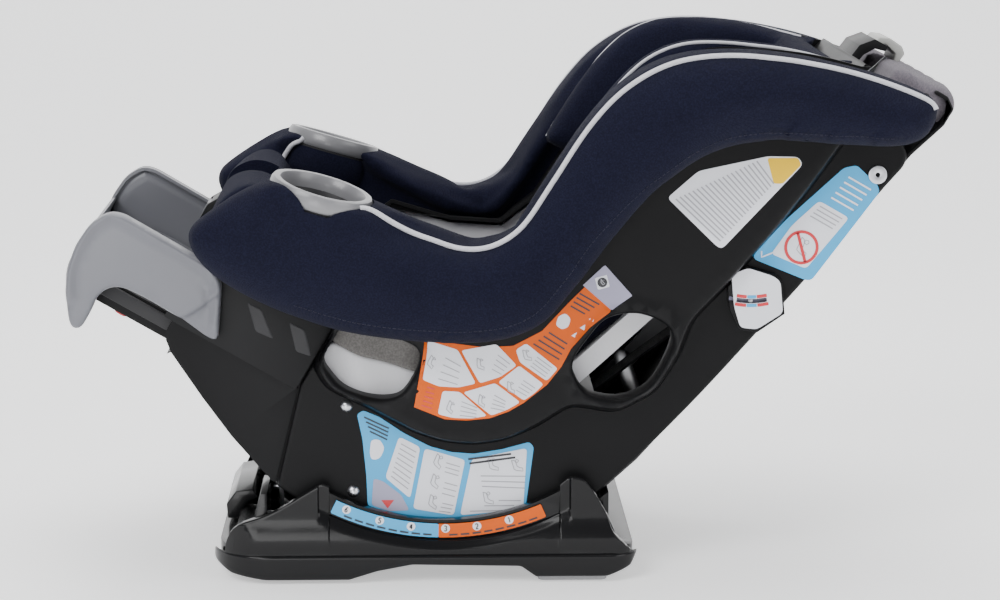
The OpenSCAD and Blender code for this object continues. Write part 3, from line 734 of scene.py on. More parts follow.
def cloth_finish(name, dark, light, pitch=0.0011, depth=0.0002, sheen=0.025):
    """Knitted or woven cloth."""
    material, tree, shader, where = new_finish(name)
    made = use_group(tree, "knit", {"Vector": where, "Pitch": pitch, "Dark": (*dark, 1), "Light": (*light, 1)})
    tree.links.new(made["Color"], shader.inputs["Base Color"])
    tree.links.new(made["Roughness"], shader.inputs["Roughness"])
    shader.inputs["Sheen Weight"].default_value = sheen
    shader.inputs["Sheen Roughness"].default_value = 0.5
    shader.inputs["Specular IOR Level"].default_value = 0.08
    bump(tree, shader, made["Height"], depth)
    return material


def metal(name, color, roughness):
    """Plated or bare steel."""
    material, tree, shader, where = new_finish(name)
    made = use_group(tree, "grain", {"Vector": where, "Grain Size": 0.0012, "Color": (*color, 1),
                                     "Roughness": roughness, "Wear": 0.1})
    tree.links.new(made["Color"], shader.inputs["Base Color"])
    tree.links.new(made["Roughness"], shader.inputs["Roughness"])
    shader.inputs["Metallic"].default_value = 1.0
    bump(tree, shader, made["Height"], 0.00001)
    return material


def make_finishes(colours):
    """Every finish of the seat, from the colours in the panel."""
    plastic("shell_black", colours.shell, 0.4, 0.0007, 0.00003, wear=0.04, dust=0.008, specular=0.13)
    plastic("base_black", colours.base, 0.24, 0.0009, 0.00001, wear=0.04, coat=0.22, dust=0.008, specular=0.15)
    plastic("slot_grey", (0.022, 0.022, 0.024), 0.5, wear=0.0, dust=0.0, specular=0.3)
    plastic("panel_grey", colours.panel, 0.36, 0.0006, 0.00002, wear=0.1)
    plastic("rim_grey", colours.rim, 0.3, 0.0006, 0.00001, wear=0.1, coat=0.2)
    plastic("handle_grey", (0.36, 0.36, 0.34), 0.35)
    plastic("button_red", (0.55, 0.02, 0.025), 0.35)
    plastic("rubber_pad", (0.06, 0.06, 0.062), 0.8, wear=0.0)
    plastic("pad_light", (0.34, 0.34, 0.35), 0.7, wear=0.0)
    plastic("foam_white", colours.foam, 0.75, 0.003, 0.0003, wear=0.0)
    plastic("print_white", colours.print_white, specular=0.15, roughness=0.4, wear=0.0, dust=0.0)
    plastic("print_blue", colours.print_blue, specular=0.15, roughness=0.38, wear=0.0, dust=0.0)
    plastic("print_orange", colours.print_orange, specular=0.15, roughness=0.38, wear=0.0, dust=0.0)
    plastic("print_yellow", colours.print_yellow, specular=0.15, roughness=0.38, wear=0.0, dust=0.0)
    plastic("print_lavender", (0.30, 0.29, 0.40), 0.4, wear=0.0, dust=0.0)
    plastic("print_grey", (0.32, 0.32, 0.35), 0.4, wear=0.0, dust=0.0)
    plastic("print_dark", (0.02, 0.02, 0.025), 0.4, wear=0.0, dust=0.0)
    plastic("print_red", (0.55, 0.02, 0.03), 0.4, wear=0.0, dust=0.0)
    cloth_finish("cover_navy", colours.cover_dark, colours.cover_light)
    # A darker copy of the navy cover: painted shade for the back cushion and the shoulder pads inside the seat.
    cloth_finish("cover_navy_shaded", [c * 0.6 for c in colours.cover_dark], [c * 0.6 for c in colours.cover_light])
    cloth_finish("piping_white", [c * 0.8 for c in colours.piping], colours.piping, 0.0008, 0.0001, 0.1)
    cloth_finish("webbing_black", (0.008, 0.008, 0.01), (0.03, 0.03, 0.034), 0.0016, 0.0003, 0.1)
    cloth_finish("thread_grey", (0.012, 0.012, 0.025), (0.03, 0.03, 0.05), 0.0006, 0.0001, 0.1)
    cloth_finish("lining_mauve", (0.10, 0.09, 0.11), (0.2, 0.18, 0.2), 0.0012, 0.0002, 0.2)
    cloth_finish("lining_grey", (0.11, 0.105, 0.10), (0.24, 0.23, 0.22), 0.0012, 0.0002, 0.2)
    metal("steel_plated", (0.62, 0.63, 0.66), 0.28)
    metal("steel_dark", (0.22, 0.22, 0.23), 0.4)


NODE_FINISH = {
    "black_shell": "shell_black", "black_base": "base_black", "grey_plastic": "panel_grey",
    "light_grey_plastic": "handle_grey", "navy_fabric": "cover_navy", "white_foam": "foam_white",
    "webbing": "webbing_black", "steel": "steel_plated", "red_plastic": "button_red", "rubber": "rubber_pad",
    "scale_print": "print_blue", "level_bead": "print_white",
}

# ---------------------------------------------------------------- the seat's own outlines

WING = smooth_curve([
    (-223, -72), (-222, -58), (-206, -24), (-194, -4), (-174, 13), (-137, 22), (-93, 31), (-40, 38), (2, 47), (27, 75),
    (32, 130), (36, 190), (48, 240), (78, 284), (135, 321), (211, 350), (288, 366), (303, 357), (305, 335),
    (290, 315), (239, 287), (190, 262), (150, 225), (122, 168), (108, 107), (101, 57), (92, 15), (62, -20),
    (13, -49), (-52, -76), (-115, -91), (-173, -95), (-208, -86)], 5, True)
WING_LOW = smooth_curve([(290, 315), (239, 287), (190, 262), (150, 225), (122, 168), (108, 107), (101, 57),
                         (92, 15), (62, -20), (13, -49), (-52, -76), (-115, -91)], 6)
RAISED = rounded([
    (-66, -90), (-66, -128), (-44, -142), (6, -139), (47, -138), (74, -133), (101, -121), (124, -103),
    (143, -78), (160, -45), (200, -30), (222, 5), (224, 45), (218, 80), (228, 120), (240, 180), (249, 240),
    (254, 290), (262, 340), (200, 340), (60, 215), (45, 40), (-84, -20), (-210, -50), (-210, -90)], 10)
LOWER = np.vstack([
    [(-65, -151)], arc(ROCKER, 261.5, 334.5, 60), [(232, -82)],
    smooth_curve([(239, -60), (259, 20), (276, 100), (292, 179), (308, 272)], 6),
    rounded([(308, 272), (314, 300), (308, 312), (262, 328)], 8)[8:],
    [(200, 325), (140, 300), (95, 262), (72, 215), (66, 150), (62, 80), (45, 40), (0, 18), (-60, 4), (-84, -54),
     (-198, -54), (-203, -72), (-194, -86), (-65, -86)]])
REAR_SLOT = smooth_curve([(139, -5), (140, 20), (146, 44), (166, 61), (190, 66), (206, 60), (212, 38), (211, 8),
                          (194, -15), (166, -25), (149, -18)], 8, True)
FRONT_SLOT = rounded([(-61, -119), (-34, -131), (-8, -127), (8, -121), (19, -110), (20, -80), (12, -64),
                      (-14, -67), (-61, -79)], 10)
PANEL = rounded([
    (-152, -149), (-154, -143), (-174, -101), (-184, -94), (-200, -91), (-282, -90), (-294, -95), (-303, -112),
    (-305, -135), (-301, -158), (-292, -178), (-276, -200), (-270, -203), (-264, -199), (-264, -180), (-266, -166),
    (-260, -153), (-248, -147), (-223, -146), (-190, -147), (-160, -151)], 7)


PANEL_RIM = smooth_curve([(-160, -138), (-176, -104), (-186, -97), (-200, -94), (-282, -93), (-294, -99),
                          (-301, -114), (-302, -135), (-298, -158), (-288, -178)], 6)
PANEL_CREASE = smooth_curve([(-226, -160), (-208, -150), (-192, -143), (-184, -132), (-176, -114), (-168, -98)], 6)


def side_height(points):
    """Outer face of the shell's side: low along the frame, raised over the belt path, rolled at the slots."""
    gap, _ = nearest(RAISED, points)
    depth = np.where(inside(RAISED, points), gap, -gap)
    y = LOW_SIDE + (HIGH_SIDE - LOW_SIDE) * ease((depth + 2) / 9)
    y += 1.2 * np.exp(-((depth - 8) / 3.5) ** 2)
    for slot in (REAR_SLOT, FRONT_SLOT):
        y += 2.6 * np.exp(-((nearest(slot, points)[0] - 5) / 3) ** 2)
    return y


def shell_side(side, name):
    """One side of the shell, with its raised belt path and rolled slots."""
    shape = Shape()
    ridge = resample(RAISED, 3.5, True)
    moulding(shape, LOWER, [REAR_SLOT, FRONT_SLOT], side_height, 138, side, seat, FINISHES["shell_black"],
             wall=3.5, edge=2.5, lines=[(ridge, 8)])
    piece = shape.build("shell_side_moulding_" + name, 50)
    return settle(piece, "seat", "black_shell", "shell_side_" + name)


def shell_parts():
    """The shell's front, rocker, back and pan."""
    for node, width in (("shell_front", 2.0), ("shell_rocker", 1.2), ("shell_rear", 1.8), ("shell_back", 1.2)):
        soften(node, width, FINISHES["shell_black"])
    slots = Shape()
    for side in (-1, 1):
        for outline in ([(-145, -107), (-130, -106), (-107, -125), (-125, -127)],
                        [(-103, -104), (-87, -103), (-69, -122), (-84, -125)]):
            moulding(slots, rounded(outline, 2.5, 3), [], lambda p: np.full(len(p), 151.6), 149.5, side, seat,
                     FINISHES["slot_grey"], wall=1.0, edge=0.6, coarse=12, step=2)
        seam = np.array([(-66, -84), (-65, -151), (-52, -200), (-38, -243)], float)
        normals = line_normals(seam, False) * 7
        moulding(slots, np.vstack([seam + normals, (seam - normals)[::-1]]), [], lambda p: np.full(len(p), 137.6),
                 136, side, seat, FINISHES["shell_black"], wall=1.0, edge=0.4, coarse=12)
    settle(slots.build("shell_front_slots", 50), "seat", "black_shell")


def belt_path_lining():
    """Foam and lining seen through the front belt slots."""
    for material, slot, outline in (
            ("foam_white", "white_foam", [(-62, -134), (40, -134), (40, -84), (8, -90), (-30, -100), (-62, -102)]),
            ("lining_grey", "white_foam", [(-62, -103), (-30, -101), (8, -91), (40, -85), (40, -50), (-62, -60)])):
        shape = Shape()
        for side in (-1, 1):
            moulding(shape, rounded(outline, 8), [], lambda p: 147 + 2.5 * np.sin(p[:, 0] / 9 + p[:, 1] / 14),
                     139, side, seat, FINISHES[material], wall=2, edge=4, coarse=6)
        settle(shape.build("belt_path_" + material, 60), "seat", slot)


def top_end():
    """The lining's padded end over the top of the back."""
    profile = smooth_curve([(262, 356), (264, 368), (274, 375), (295, 376), (314, 379), (326, 373), (331, 362),
                            (327, 350), (320, 348), (314, 362), (290, 366), (272, 358)], 4, True)
    middle = profile.mean(0)
    rings = []
    for y in np.linspace(-134, 134, 61):
        near_end = max(0.0, (abs(y) - 118) / 16)
        scale = math.sqrt(max(1 - near_end ** 2, 0.02))
        ripple = 0.8 * math.sin(y / 9.0)
        ring = middle + (profile - middle) * scale
        clear = 264 + 28 * ease((34 - abs(y)) / 6)
        rings.append(seat(np.column_stack([np.maximum(ring[:, 0], clear), np.full(len(ring), y),
                                           ring[:, 1] + ripple])))
    shape = Shape()
    shape.add(*loft(rings), FINISHES["lining_mauve"])
    piece = settle(shape.build("back_top_lining"), "seat", "navy_fabric")


# ---------------------------------------------------------------- padded covers


def sheet_solid(outline, outer, inner, coarse=7.0, step=5.0):
    """Vertices and faces of a solid between two height fields over one outline, both given as y."""
    outline = resample(outline, step, True)
    coords, faces, origin, fixed = triangulate(outline, [], fill_points(outline, [], [], coarse, (2.0, 5.0, 10.0)))
    count = len(coords)
    front = np.column_stack([coords[:, 0], outer(coords), coords[:, 1]])
    back = np.column_stack([coords[:, 0], inner(coords), coords[:, 1]])
    where = {o: i for i, o in enumerate(origin) if 0 <= o < fixed}
    n = len(outline)
    rim = [(where[k], where[(k + 1) % n], count + where[(k + 1) % n], count + where[k])
           for k in range(n) if k in where and (k + 1) % n in where]
    return np.vstack([front, back]), [tuple(f) for f in faces] + [tuple(f + count) for f in faces] + rim


def remesh(piece, voxel):
    """Gives a piece one even skin."""
    modifier = piece.modifiers.new("skin", "REMESH")
    modifier.mode = "VOXEL"
    modifier.voxel_size = voxel * MM
    modifier.use_smooth_shade = True
    freeze(piece)


def relax(piece, rounds=4, factor=0.5):
    """Smooths a piece's skin."""
    modifier = piece.modifiers.new("relax", "SMOOTH")
    modifier.factor = factor
    modifier.iterations = rounds
    freeze(piece)


def cut_away(piece, vertices, faces):
    """Cuts a closed shape out of a piece."""
    mesh = bpy.data.meshes.new("cutter")
    mesh.from_pydata([tuple(v) for v in vertices], [], faces)
    turn_outward(mesh)
    cutter = bpy.data.objects.new("cutter", mesh)
    bpy.context.scene.collection.objects.link(cutter)
    modifier = piece.modifiers.new("cut", "BOOLEAN")
    modifier.object = cutter
    modifier.operation = "DIFFERENCE"
    modifier.solver = "EXACT"
    freeze(piece)
    work = bmesh.new()
    work.from_mesh(piece.data)
    bmesh.ops.triangulate(work, faces=[f for f in work.faces if len(f.verts) > 4], ngon_method="EAR_CLIP")
    work.to_mesh(piece.data)
    work.free()
    bpy.data.objects.remove(cutter)
    bpy.data.meshes.remove(mesh)


def to_seat(vertices):
    """Metres in the frame back to seat millimetres."""
    v = np.asarray(vertices, float)
    x, y, z = (v[:, 0] - PIVOT.x) / MM, v[:, 1] / MM, (v[:, 2] - PIVOT.z) / MM
    cos, sin = math.cos(TILT), math.sin(TILT)
    return np.column_stack([x * cos - z * sin, y, x * sin + z * cos])


def read_points(piece):
    """A piece's vertices as an array."""
    out = np.empty(len(piece.data.vertices) * 3)
    piece.data.vertices.foreach_get("co", out)
    return out.reshape(-1, 3)


def write_points(piece, points):
    """Moves a piece's vertices."""
    piece.data.vertices.foreach_set("co", np.asarray(points, float).ravel())
    piece.data.update()


def bolster_outer(points):
    """Outer face of a side bolster: softly crowned and rounded at its edges, full round the cup."""
    gap, _ = nearest(WING, points)
    cup = np.exp(-(np.linalg.norm(points - np.array([-137.0, 14.0]), axis=1) / 56) ** 4)
    tip = np.exp(-(np.linalg.norm(points - np.array([-214.0, -60.0]), axis=1) / 40) ** 4)
    radius = 26.0 - 17 * cup - 9 * tip
    round_off = radius * (1 - np.sqrt(1 - (1 - np.minimum(gap, radius) / radius) ** 2))
    y = 226 + 8 * ease(gap / 45) * (1 - cup) + 6.5 * cup - round_off
    crease, _ = nearest(np.array([(-176.0, 0.0), (-137.0, -4.0), (-98.0, 12.0)]), points, False)
    return y - 3.0 * np.exp(-(crease / 6) ** 2)


def bolster_inner(points):
    """Inner face of a side bolster: a thin lining in the bucket and clear of the shell below."""
    gap, _ = nearest(WING, points)
    over, _ = nearest(RAISED, points)
    depth = np.where(inside(RAISED, points), over, -over)
    lower = np.where(points[:, 1] < 20, ease((58 - points[:, 1] + 0.4 * (points[:, 0] + 60)) / 20), 0)
    cover = np.maximum(ease((depth + 6) / 10), lower * (points[:, 0] > -300))
    cup = np.exp(-(np.linalg.norm(points - np.array([-137.0, 14.0]), axis=1) / 56) ** 4)
    radius = 14 - 10 * cup
    soft = radius * (1 - np.sqrt(1 - (1 - np.minimum(gap, radius) / radius) ** 2))
    y = 146.5 - 1.5 * cup + 23.5 * cover + soft
    panel_top = (points[:, 1] < -80) & (points[:, 0] < -50)
    return np.where(panel_top, np.maximum(y, 178), y)


def side_bolster(side, name):
    """One side bolster's cover, filled, with its gathered hem and cup opening."""
    shape = Shape()
    vertices, faces = sheet_solid(WING, bolster_outer, bolster_inner)
    vertices[:, 1] *= side
    shape.add(seat(vertices), faces, FINISHES["cover_navy"])
    piece = shape.build("bolster_cover_" + name)
    remesh(piece, 5)
    relax(piece, 3)
    puff(piece, 2.5, 5)
    remesh(piece, 3.2)
    relax(piece, 4)
    points = read_points(piece)
    local = to_seat(points)
    gap, foot = nearest(WING_LOW, local[:, [0, 2]], False)
    along = np.concatenate([[0], np.cumsum(np.linalg.norm(np.diff(WING_LOW, axis=0), axis=1))])
    index = np.abs(local[:, None, 0] - WING_LOW[None, ::2, 0]) + np.abs(local[:, None, 2] - WING_LOW[None, ::2, 1])
    run = along[::2][index.argmin(1)]
    hem = np.exp(-(gap / 16) ** 2) * (np.abs(local[:, 1]) > 175)
    gather = 1.5 * np.sin(run * 2 * math.pi / 13) + 0.8 * np.sin(run * 2 * math.pi / 7.3 + 1)
    local[:, 1] += side * hem * gather * np.where(foot[:, 0] > 10, 1.0, 0.35)
    wave = 1.3 * np.sin(local[:, 0] / 31 + 1.1) * np.sin(local[:, 2] / 27 + 0.4)
    local[:, 1] += side * wave * ease((gap - 10) / 40) * (np.abs(local[:, 1]) > 200)
    write_points(piece, seat(local))
    tilt = cup_place(side)
    ring = [(math.cos(a), math.sin(a)) for a in np.linspace(0, 2 * math.pi, 65)[:-1]]
    for radius, low in ((47.9, -8.5), (36.3, -58)):
        cut_away(piece, *loft([[tilt((x * radius, y * radius, h)) for x, y in ring] for h in (low, 60)]))
    finish_cloth(piece)
    settle(piece, "seat", "navy_fabric", "bolster_" + name)
    return piece


def finish_cloth(piece):
    """Smooth shading on a cover, with edges sharper than 60 degrees kept sharp."""
    piece.data.polygons.foreach_set("use_smooth", [True] * len(piece.data.polygons))
    piece.data.set_sharp_from_angle(angle=math.radians(60))


def cup_place(side):
    """Where a cup holder's own points lie on the seat."""
    turn = Matrix.Rotation(math.radians(-14), 3, "Y") @ Matrix.Rotation(math.radians(-5 * side), 3, "X")

    def place(point):
        moved = turn @ Vector(point) + Vector((-137, side * 190, 18))
        return seat(np.array(moved))

    return place


def on_cover(piece, line, lift):
    """A line of seat points laid on a cover's surface."""
    out = []
    for point in seat(line):
        found, spot, normal, _ = piece.closest_point_on_mesh(Vector(point))
        out.append(np.array(spot + normal * lift * MM) if found else point)
    out = np.array(out)
    for _ in range(3):
        out[1:-1] = (out[:-2] + 2 * out[1:-1] + out[2:]) / 4
    return out


def bolster_trim(covers):
    """Welt piping and stitches along the bolsters."""
    top = smooth_curve([(-137, 21), (-93, 31), (-40, 38), (2, 47), (27, 75),
                        (32, 130), (36, 190), (48, 240), (78, 284), (135, 321), (211, 350), (286, 364),
                        (300, 357)], 10)
    top = resample(top, 5)
    for name, side in SIDES.items():
        cover = covers[name]
        seam = on_cover(cover, np.column_stack([top[:, 0], np.full(len(top), side * 217.0), top[:, 1] + 3]), 1.2)
        away = np.array([np.linalg.norm(p - np.array([-137, side * 190, 22.0])) > 46
                         for p in to_seat(seam)])
        runs, run = [], []
        for point, keep in zip(seam, away):
            if keep:
                run.append(point)
            elif run:
                runs.append(run)
                run = []
        if run:
            runs.append(run)
        runs = [r for r in runs if len(r) > 4]
        front = resample(smooth_curve([(-177, -44), (-176, -29), (-175, -14), (-170, 2), (-164, 14)], 6), 4)
        runs.append(on_cover(cover, np.column_stack([front[:, 0], np.linspace(side * 144, side * 156, len(front)),
                                                     front[:, 1]]), 1.2))
        along_lines("bolster_piping_" + name, "piping", runs, "seat", "navy_fabric", Radius=0.0024, Step=0.003,
                    Material=FINISHES["piping_white"])
        edge = resample(WING_LOW, 5)
        middle = WING.mean(0)
        inner = edge + (middle - edge) / np.linalg.norm(middle - edge, axis=1, keepdims=True) * 13
        hem = on_cover(cover, np.column_stack([inner[:, 0], np.full(len(inner), side * 232.0), inner[:, 1]]), 0.2)
        along_lines("bolster_stitches_" + name, "stitches", [hem], "seat", "navy_fabric", Spacing=0.0045,
                    Length=0.0032, Thickness=0.0009, Material=FINISHES["thread_grey"])


def cup_holder(side, name):
    """One cup holder: a bright rim band round a tapered cup, with a dark recess under the rim."""
    profile = [(45.0, -7), (46.8, -5), (47.2, -1), (46.6, 5), (45.2, 7.6), (42.5, 8.4), (39.4, 7.8), (37.6, 5),
               (36.6, 0), (36.0, -6), (34.8, -6.6), (34.0, -10), (30.4, -46), (27, -49.2), (0.4, -49.6),
               (0.4, -51), (30, -51), (32, -48), (35.4, -10), (39, -7)]
    shape = Shape()
    shape.add(*lathe(profile, cup_place(side), 96), FINISHES["rim_grey"])
    piece = shape.build("cup_" + name, 40)
    settle(piece, "seat", "grey_plastic", "cup_holder_" + name)
    collar = Shape()
    collar.add(*lathe([(36.8, -6), (43, -7), (45.2, -11), (45.4, -20), (44.6, -30), (42, -38), (36.8, -40)],
                      cup_place(side), 96), FINISHES["cover_navy"])
    settle(collar.build("cup_collar_" + name, 60), "seat", "navy_fabric")
    liner = Shape()
    for ring in ([(36.2, -5), (35.4, -8.4), (34.6, -9.2), (34.2, -12), (33.5, -12), (33.9, -8.6), (35.2, -5)],
                 [(44.4, -7.4), (43.6, -13), (37.5, -14), (37.5, -7.4)]):
        liner.add(*lathe(ring, cup_place(side), 96), FINISHES["slot_grey"])
    settle(liner.build("cup_seam_" + name, 40), "seat", "grey_plastic")


def soft_block(name, outline, half_width, node, voxel, cap, material, channels=(), inset=3.0, notch=None):
    """A cushion across the seat: an outline in x and z, crowned and rounded at both ends, then filled."""
    loop = resample(rounded(np.asarray(outline, float), 8, 4), 7, True)
    middle = loop.mean(0)
    rings = []
    for y in np.linspace(-half_width + inset, half_width - inset, 41):
        t = abs(y) / (half_width - inset)
        reach = 1 - 0.5 * max(0.0, (t - 0.94) / 0.06) ** 2 * 0.3
        ring = middle + (loop - middle) * reach
        rings.append(seat(np.column_stack([ring[:, 0], np.full(len(ring), y), ring[:, 1]])))
    shape = Shape()
    shape.add(*loft(rings), FINISHES[material])
    piece = shape.build(name)
    remesh(piece, voxel)
    relax(piece, 3)
    puff(piece, 3.5, cap)
    relax(piece, 2)
    refine(piece)
    if channels:
        points = read_points(piece)
        local = to_seat(points)
        for place in channels:
            groove = np.exp(-((local[:, place[0]] - place[1]) / 4.0) ** 2)
            toward = np.column_stack([middle[0] - local[:, 0], np.zeros(len(local)), middle[1] - local[:, 2]])
            size = np.maximum(np.linalg.norm(toward, axis=1, keepdims=True), 1)
            groove *= ease((local[:, 0] + 150) / 30)
            local += toward / size * (groove * 3.0)[:, None]
        write_points(piece, seat(local))
    if notch:
        cut_away(piece, *loft([seat([(x, y, z) for y, z in ((-37, -100), (37, -100), (37, 40), (-37, 40))])
                               for x in (-260, notch)]))
    finish_cloth(piece)
    settle(piece, "seat", "navy_fabric", node)
    return piece


def cushions():
    """The seat and back cushions."""
    soft_block("seat_cushion_cover", [(-214, -78), (-219, -58), (-213, -32), (-200, -12), (-182, -8), (-168, -20),
                                      (-158, -49), (-100, -50), (98, -62), (102, -72), (96, -78)], 144,
               "seat_cushion", 6, 5, "cover_navy", channels=((1, -78), (1, 78), (0, -60), (0, 40)),
               notch=-176)
    # The back cushion wears the darker copy of the navy cover, with shade painted into its colour.
    soft_block("back_cushion_cover", [(back_x(-56, 1), -56), (back_x(350, 1), 350), (back_x(350, 17), 350),
                                      (back_x(-56, 17), -56)], 137, "back_cushion", 6, 5, "cover_navy_shaded",
               channels=((1, -72), (1, 72), (2, 60), (2, 130)))


def headrest_outline(inset, behind, low=136):
    """Side view of a headrest wing."""
    front = smooth_curve([(41, 134), (43, 170), (46, 206), (52, 240), (64, 272), (88, 299), (132, 323),
                          (174, 341), (216, 353)], 6) + (inset, inset * 0.2)
    return np.vstack([front, [(back_x(360, behind), 360), (back_x(low, behind), low)]])


def headrest():
    """The headrest's padded cover, piping and shell."""
    outline = headrest_outline(-2, -14)
    shape = Shape()
    for side in (-1, 1):
        def outer(points):
            gap, _ = nearest(outline, points)
            return 145 - 15 * (1 - np.sqrt(1 - (1 - np.minimum(gap, 15) / 15) ** 2))

        def inner(points):
            gap, _ = nearest(outline, points)
            return 106 + 17 * (1 - np.sqrt(1 - (1 - np.minimum(gap, 17) / 17) ** 2))

        vertices, faces = sheet_solid(outline, outer, inner)
        vertices[:, 1] *= side
        shape.add(seat(vertices), faces, FINISHES["cover_navy"])
    back = rounded([(back_x(136, -42), 136), (back_x(353, -42), 353), (back_x(353, -22), 353),
                    (back_x(136, -22), 136)], 8)
    shape.add(*loft([seat(np.column_stack([back[:, 0], np.full(len(back), y), back[:, 1]]))
                     for y in np.linspace(-116, 116, 30)]), FINISHES["cover_navy"])
    piece = shape.build("headrest_cover")
    remesh(piece, 5)
    relax(piece, 3)
    puff(piece, 2.5, 4)
    relax(piece, 2)
    refine(piece)
    finish_cloth(piece)
    settle(piece, "headrest", "navy_fabric", "headrest_pad", "headrest_foam")
    rim = resample(headrest_outline(-2, -14)[:-2], 5)
    lines = [on_cover(piece, np.column_stack([rim[:, 0], np.full(len(rim), side * 140.0), rim[:, 1]]), 0.8)
             for side in (-1, 1)]
    along_lines("headrest_piping", "piping", lines, "headrest", "navy_fabric", Radius=0.0016, Step=0.003,
                Material=FINISHES["piping_white"])
    soften("headrest_shell", 1.5, FINISHES["shell_black"])
    soften("headrest_handle", 1.6, FINISHES["handle_grey"])


# ---------------------------------------------------------------- straps and fittings


def webbing(name, lines, width, thickness, body, slot, nodes, blend=None):
    """Woven straps along lines of seat points, each kept flat across the seat, with selvedge edges."""
    shape = Shape()
    half, t = width / 2, thickness / 2
    section = [(-half, 0), (-half + 0.6, t), (-half + 2.2, t * 1.15), (-half + 3, t * 0.8), (0, t * 0.8),
               (half - 3, t * 0.8), (half - 2.2, t * 1.15), (half - 0.6, t), (half, 0), (half - 0.6, -t),
               (half - 2.2, -t * 1.15), (half - 3, -t * 0.8), (0, -t * 0.8), (-half + 3, -t * 0.8),
               (-half + 2.2, -t * 1.15), (-half + 0.6, -t)]
    for line in lines:
        line = resample(line, 4)
        ahead = np.gradient(line, axis=0)
        ahead /= np.linalg.norm(ahead, axis=1, keepdims=True)
        up = np.cross(ahead, [0, 1, 0])
        up /= np.linalg.norm(up, axis=1, keepdims=True)
        shape.add(*loft([seat([p + np.array([0, s, 0]) + u * h for s, h in section])
                         for p, u in zip(line, up)]), FINISHES["webbing_black"])
    piece = shape.build(name, 50)
    if blend:
        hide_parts(*nodes)
        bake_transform(piece)
    else:
        settle(piece, body, slot, *nodes)
    return piece


def spread(points, y0, y1):
    """Seat points from x and z points, with y running from one value to the other."""
    p = smooth_curve(points, 8)
    return np.column_stack([p[:, 0], np.linspace(y0, y1, len(p)), p[:, 1]])


SHOULDER = [(163, 124), (150, 116), (143, 90), (135.5, 58), (126.9, 28.8), (118.4, 15.2), (110, 1.8),
            (101.5, -11.8), (88, -27.5), (68, -33.6), (46, -35.8)]


def harness():
    """Straps, pads, buckle, chest clip and adjuster."""
    high, low = seat((163, 0, 124)), seat((112, 0, 5))
    for name, side in SIDES.items():
        webbing("shoulder_webbing_" + name, [spread(SHOULDER, side * 50, side * 24)], 38, 2, None, "webbing",
                ["shoulder_strap_" + name], ("seat", "headrest", tuple(low), tuple(high)))
    webbing("crotch_webbing", [spread([(-52, -45), (-42, -42), (-28, -41)], 0, 0)], 38, 2, "seat", "webbing",
            ["crotch_strap"])
    webbing("lap_webbing", [np.array([(q, side * y, -46 + 2.4 * (q / 100) ** 2)
                                      for q, y in ((44, 26), (56, 60), (80, 100), (104, 132))])
                            for side in (-1, 1)], 30, 2, "seat", "webbing", ["lap_straps"])
    webbing("adjuster_webbing", [spread([(249, 108), (236, 60), (214, 10), (188, -50), (150, -110), (90, -149),
                                         (0, -151), (-120, -151), (-180, -145), (-196, -120), (-196.5, -84)],
                                        0, 0)], 38, 2, "seat", "webbing", ["adjuster_strap"])
    pads = Shape()
    for side in (-1, 1):
        line = resample(spread([(140.5, 104), (135.5, 84), (124.5, 50), (119, 36)], side * 49.5, side * 38), 3)
        ahead = np.gradient(line, axis=0)
        up = np.cross(ahead, [0, 1, 0])
        up /= np.linalg.norm(up, axis=1, keepdims=True)
        count = len(line)
        rings = []
        for i, (p, u) in enumerate(zip(line, up)):
            end = min(1.0, min(i, count - 1 - i) / 3 + 0.35)
            rings.append(seat([p + np.array([0, 27 * end * math.copysign(abs(math.cos(a)) ** 0.35, math.cos(a)), 0])
                               + u * 3.4 * end * math.copysign(abs(math.sin(a)) ** 0.7, math.sin(a))
                               for a in np.linspace(0, 2 * math.pi, 41)[:-1]]))
        # The shoulder pads wear the darker copy of the navy cover, with shade painted into its colour.
        pads.add(*loft(rings), FINISHES["cover_navy_shaded"])
    piece = settle(pads.build("shoulder_pad_covers"), "seat", "webbing", "shoulder_pads")
    for node, width, finish in (("buckle_housing", 3, "shell_black"), ("buckle_button", 1.2, "button_red"),
                                ("buckle_tongues", 0.6, "steel_plated"), ("chest_clip", 1.2, "shell_black"),
                                ("chest_clip_button", 0.8, "panel_grey"), ("harness_splitter", 0.7, "steel_plated"),
                                ("adjuster_housing", 1.2, "shell_black"), ("adjuster_lever", 0.8, "panel_grey")):
        soften(node, width, FINISHES[finish])


# ---------------------------------------------------------------- sliding panel


def panel_height(points):
    """Outer face of the sliding panel's side: a rolled top rim and a recessed facet at the rear corner."""
    gap, _ = nearest(PANEL, points)
    away, _ = nearest(PANEL_RIM, points, False)
    y = 170.5 + 2.0 * np.exp(-(away / 3.6) ** 2)
    beyond = inside(np.vstack([PANEL_CREASE, [(-120, -80), (-120, -190), (-226, -190)]]), points)
    crease, _ = nearest(PANEL_CREASE, points, False)
    return y - 4.5 * np.where(beyond, ease(crease / 6), 0) - 1.2 * np.exp(-((away - 9) / 2.2) ** 2)


def extension():
    """The sliding leg-room panel, its tray, rails and buttons."""
    shape = Shape()
    for side in (-1, 1):
        moulding(shape, PANEL, [], panel_height, 154, side, seat, FINISHES["panel_grey"], wall=14.0, edge=3.4,
                 lines=[(resample(PANEL_RIM, 3.5), 7), (resample(PANEL_CREASE, 3), 6)], coarse=8, lip=3.0)
    front = smooth_curve([(-304, -137), (-302, -158), (-293, -177), (-278, -197)], 6)
    normals = line_normals(front, False)
    section = np.vstack([front, front[-1:] + (3.5, 1.5), (front - normals * -4)[::-1], front[:1] + (2.5, 2.5)])
    shape.add(*loft([seat(np.column_stack([section[:, 0], np.full(len(section), y), section[:, 1]]))
                     for y in np.linspace(-157, 157, 40)]), FINISHES["panel_grey"])
    piece = shape.build("extension_panel_moulding", 50)
    settle(piece, "extension", "grey_plastic", "extension_panel")
    soften("extension_tray", 2.0, FINISHES["shell_black"])
    soften("extension_rails", 0.8, FINISHES["slot_grey"])
    for name in SIDES:
        soften("extension_button_" + name, 0.9, FINISHES["button_red"])


# ---------------------------------------------------------------- base


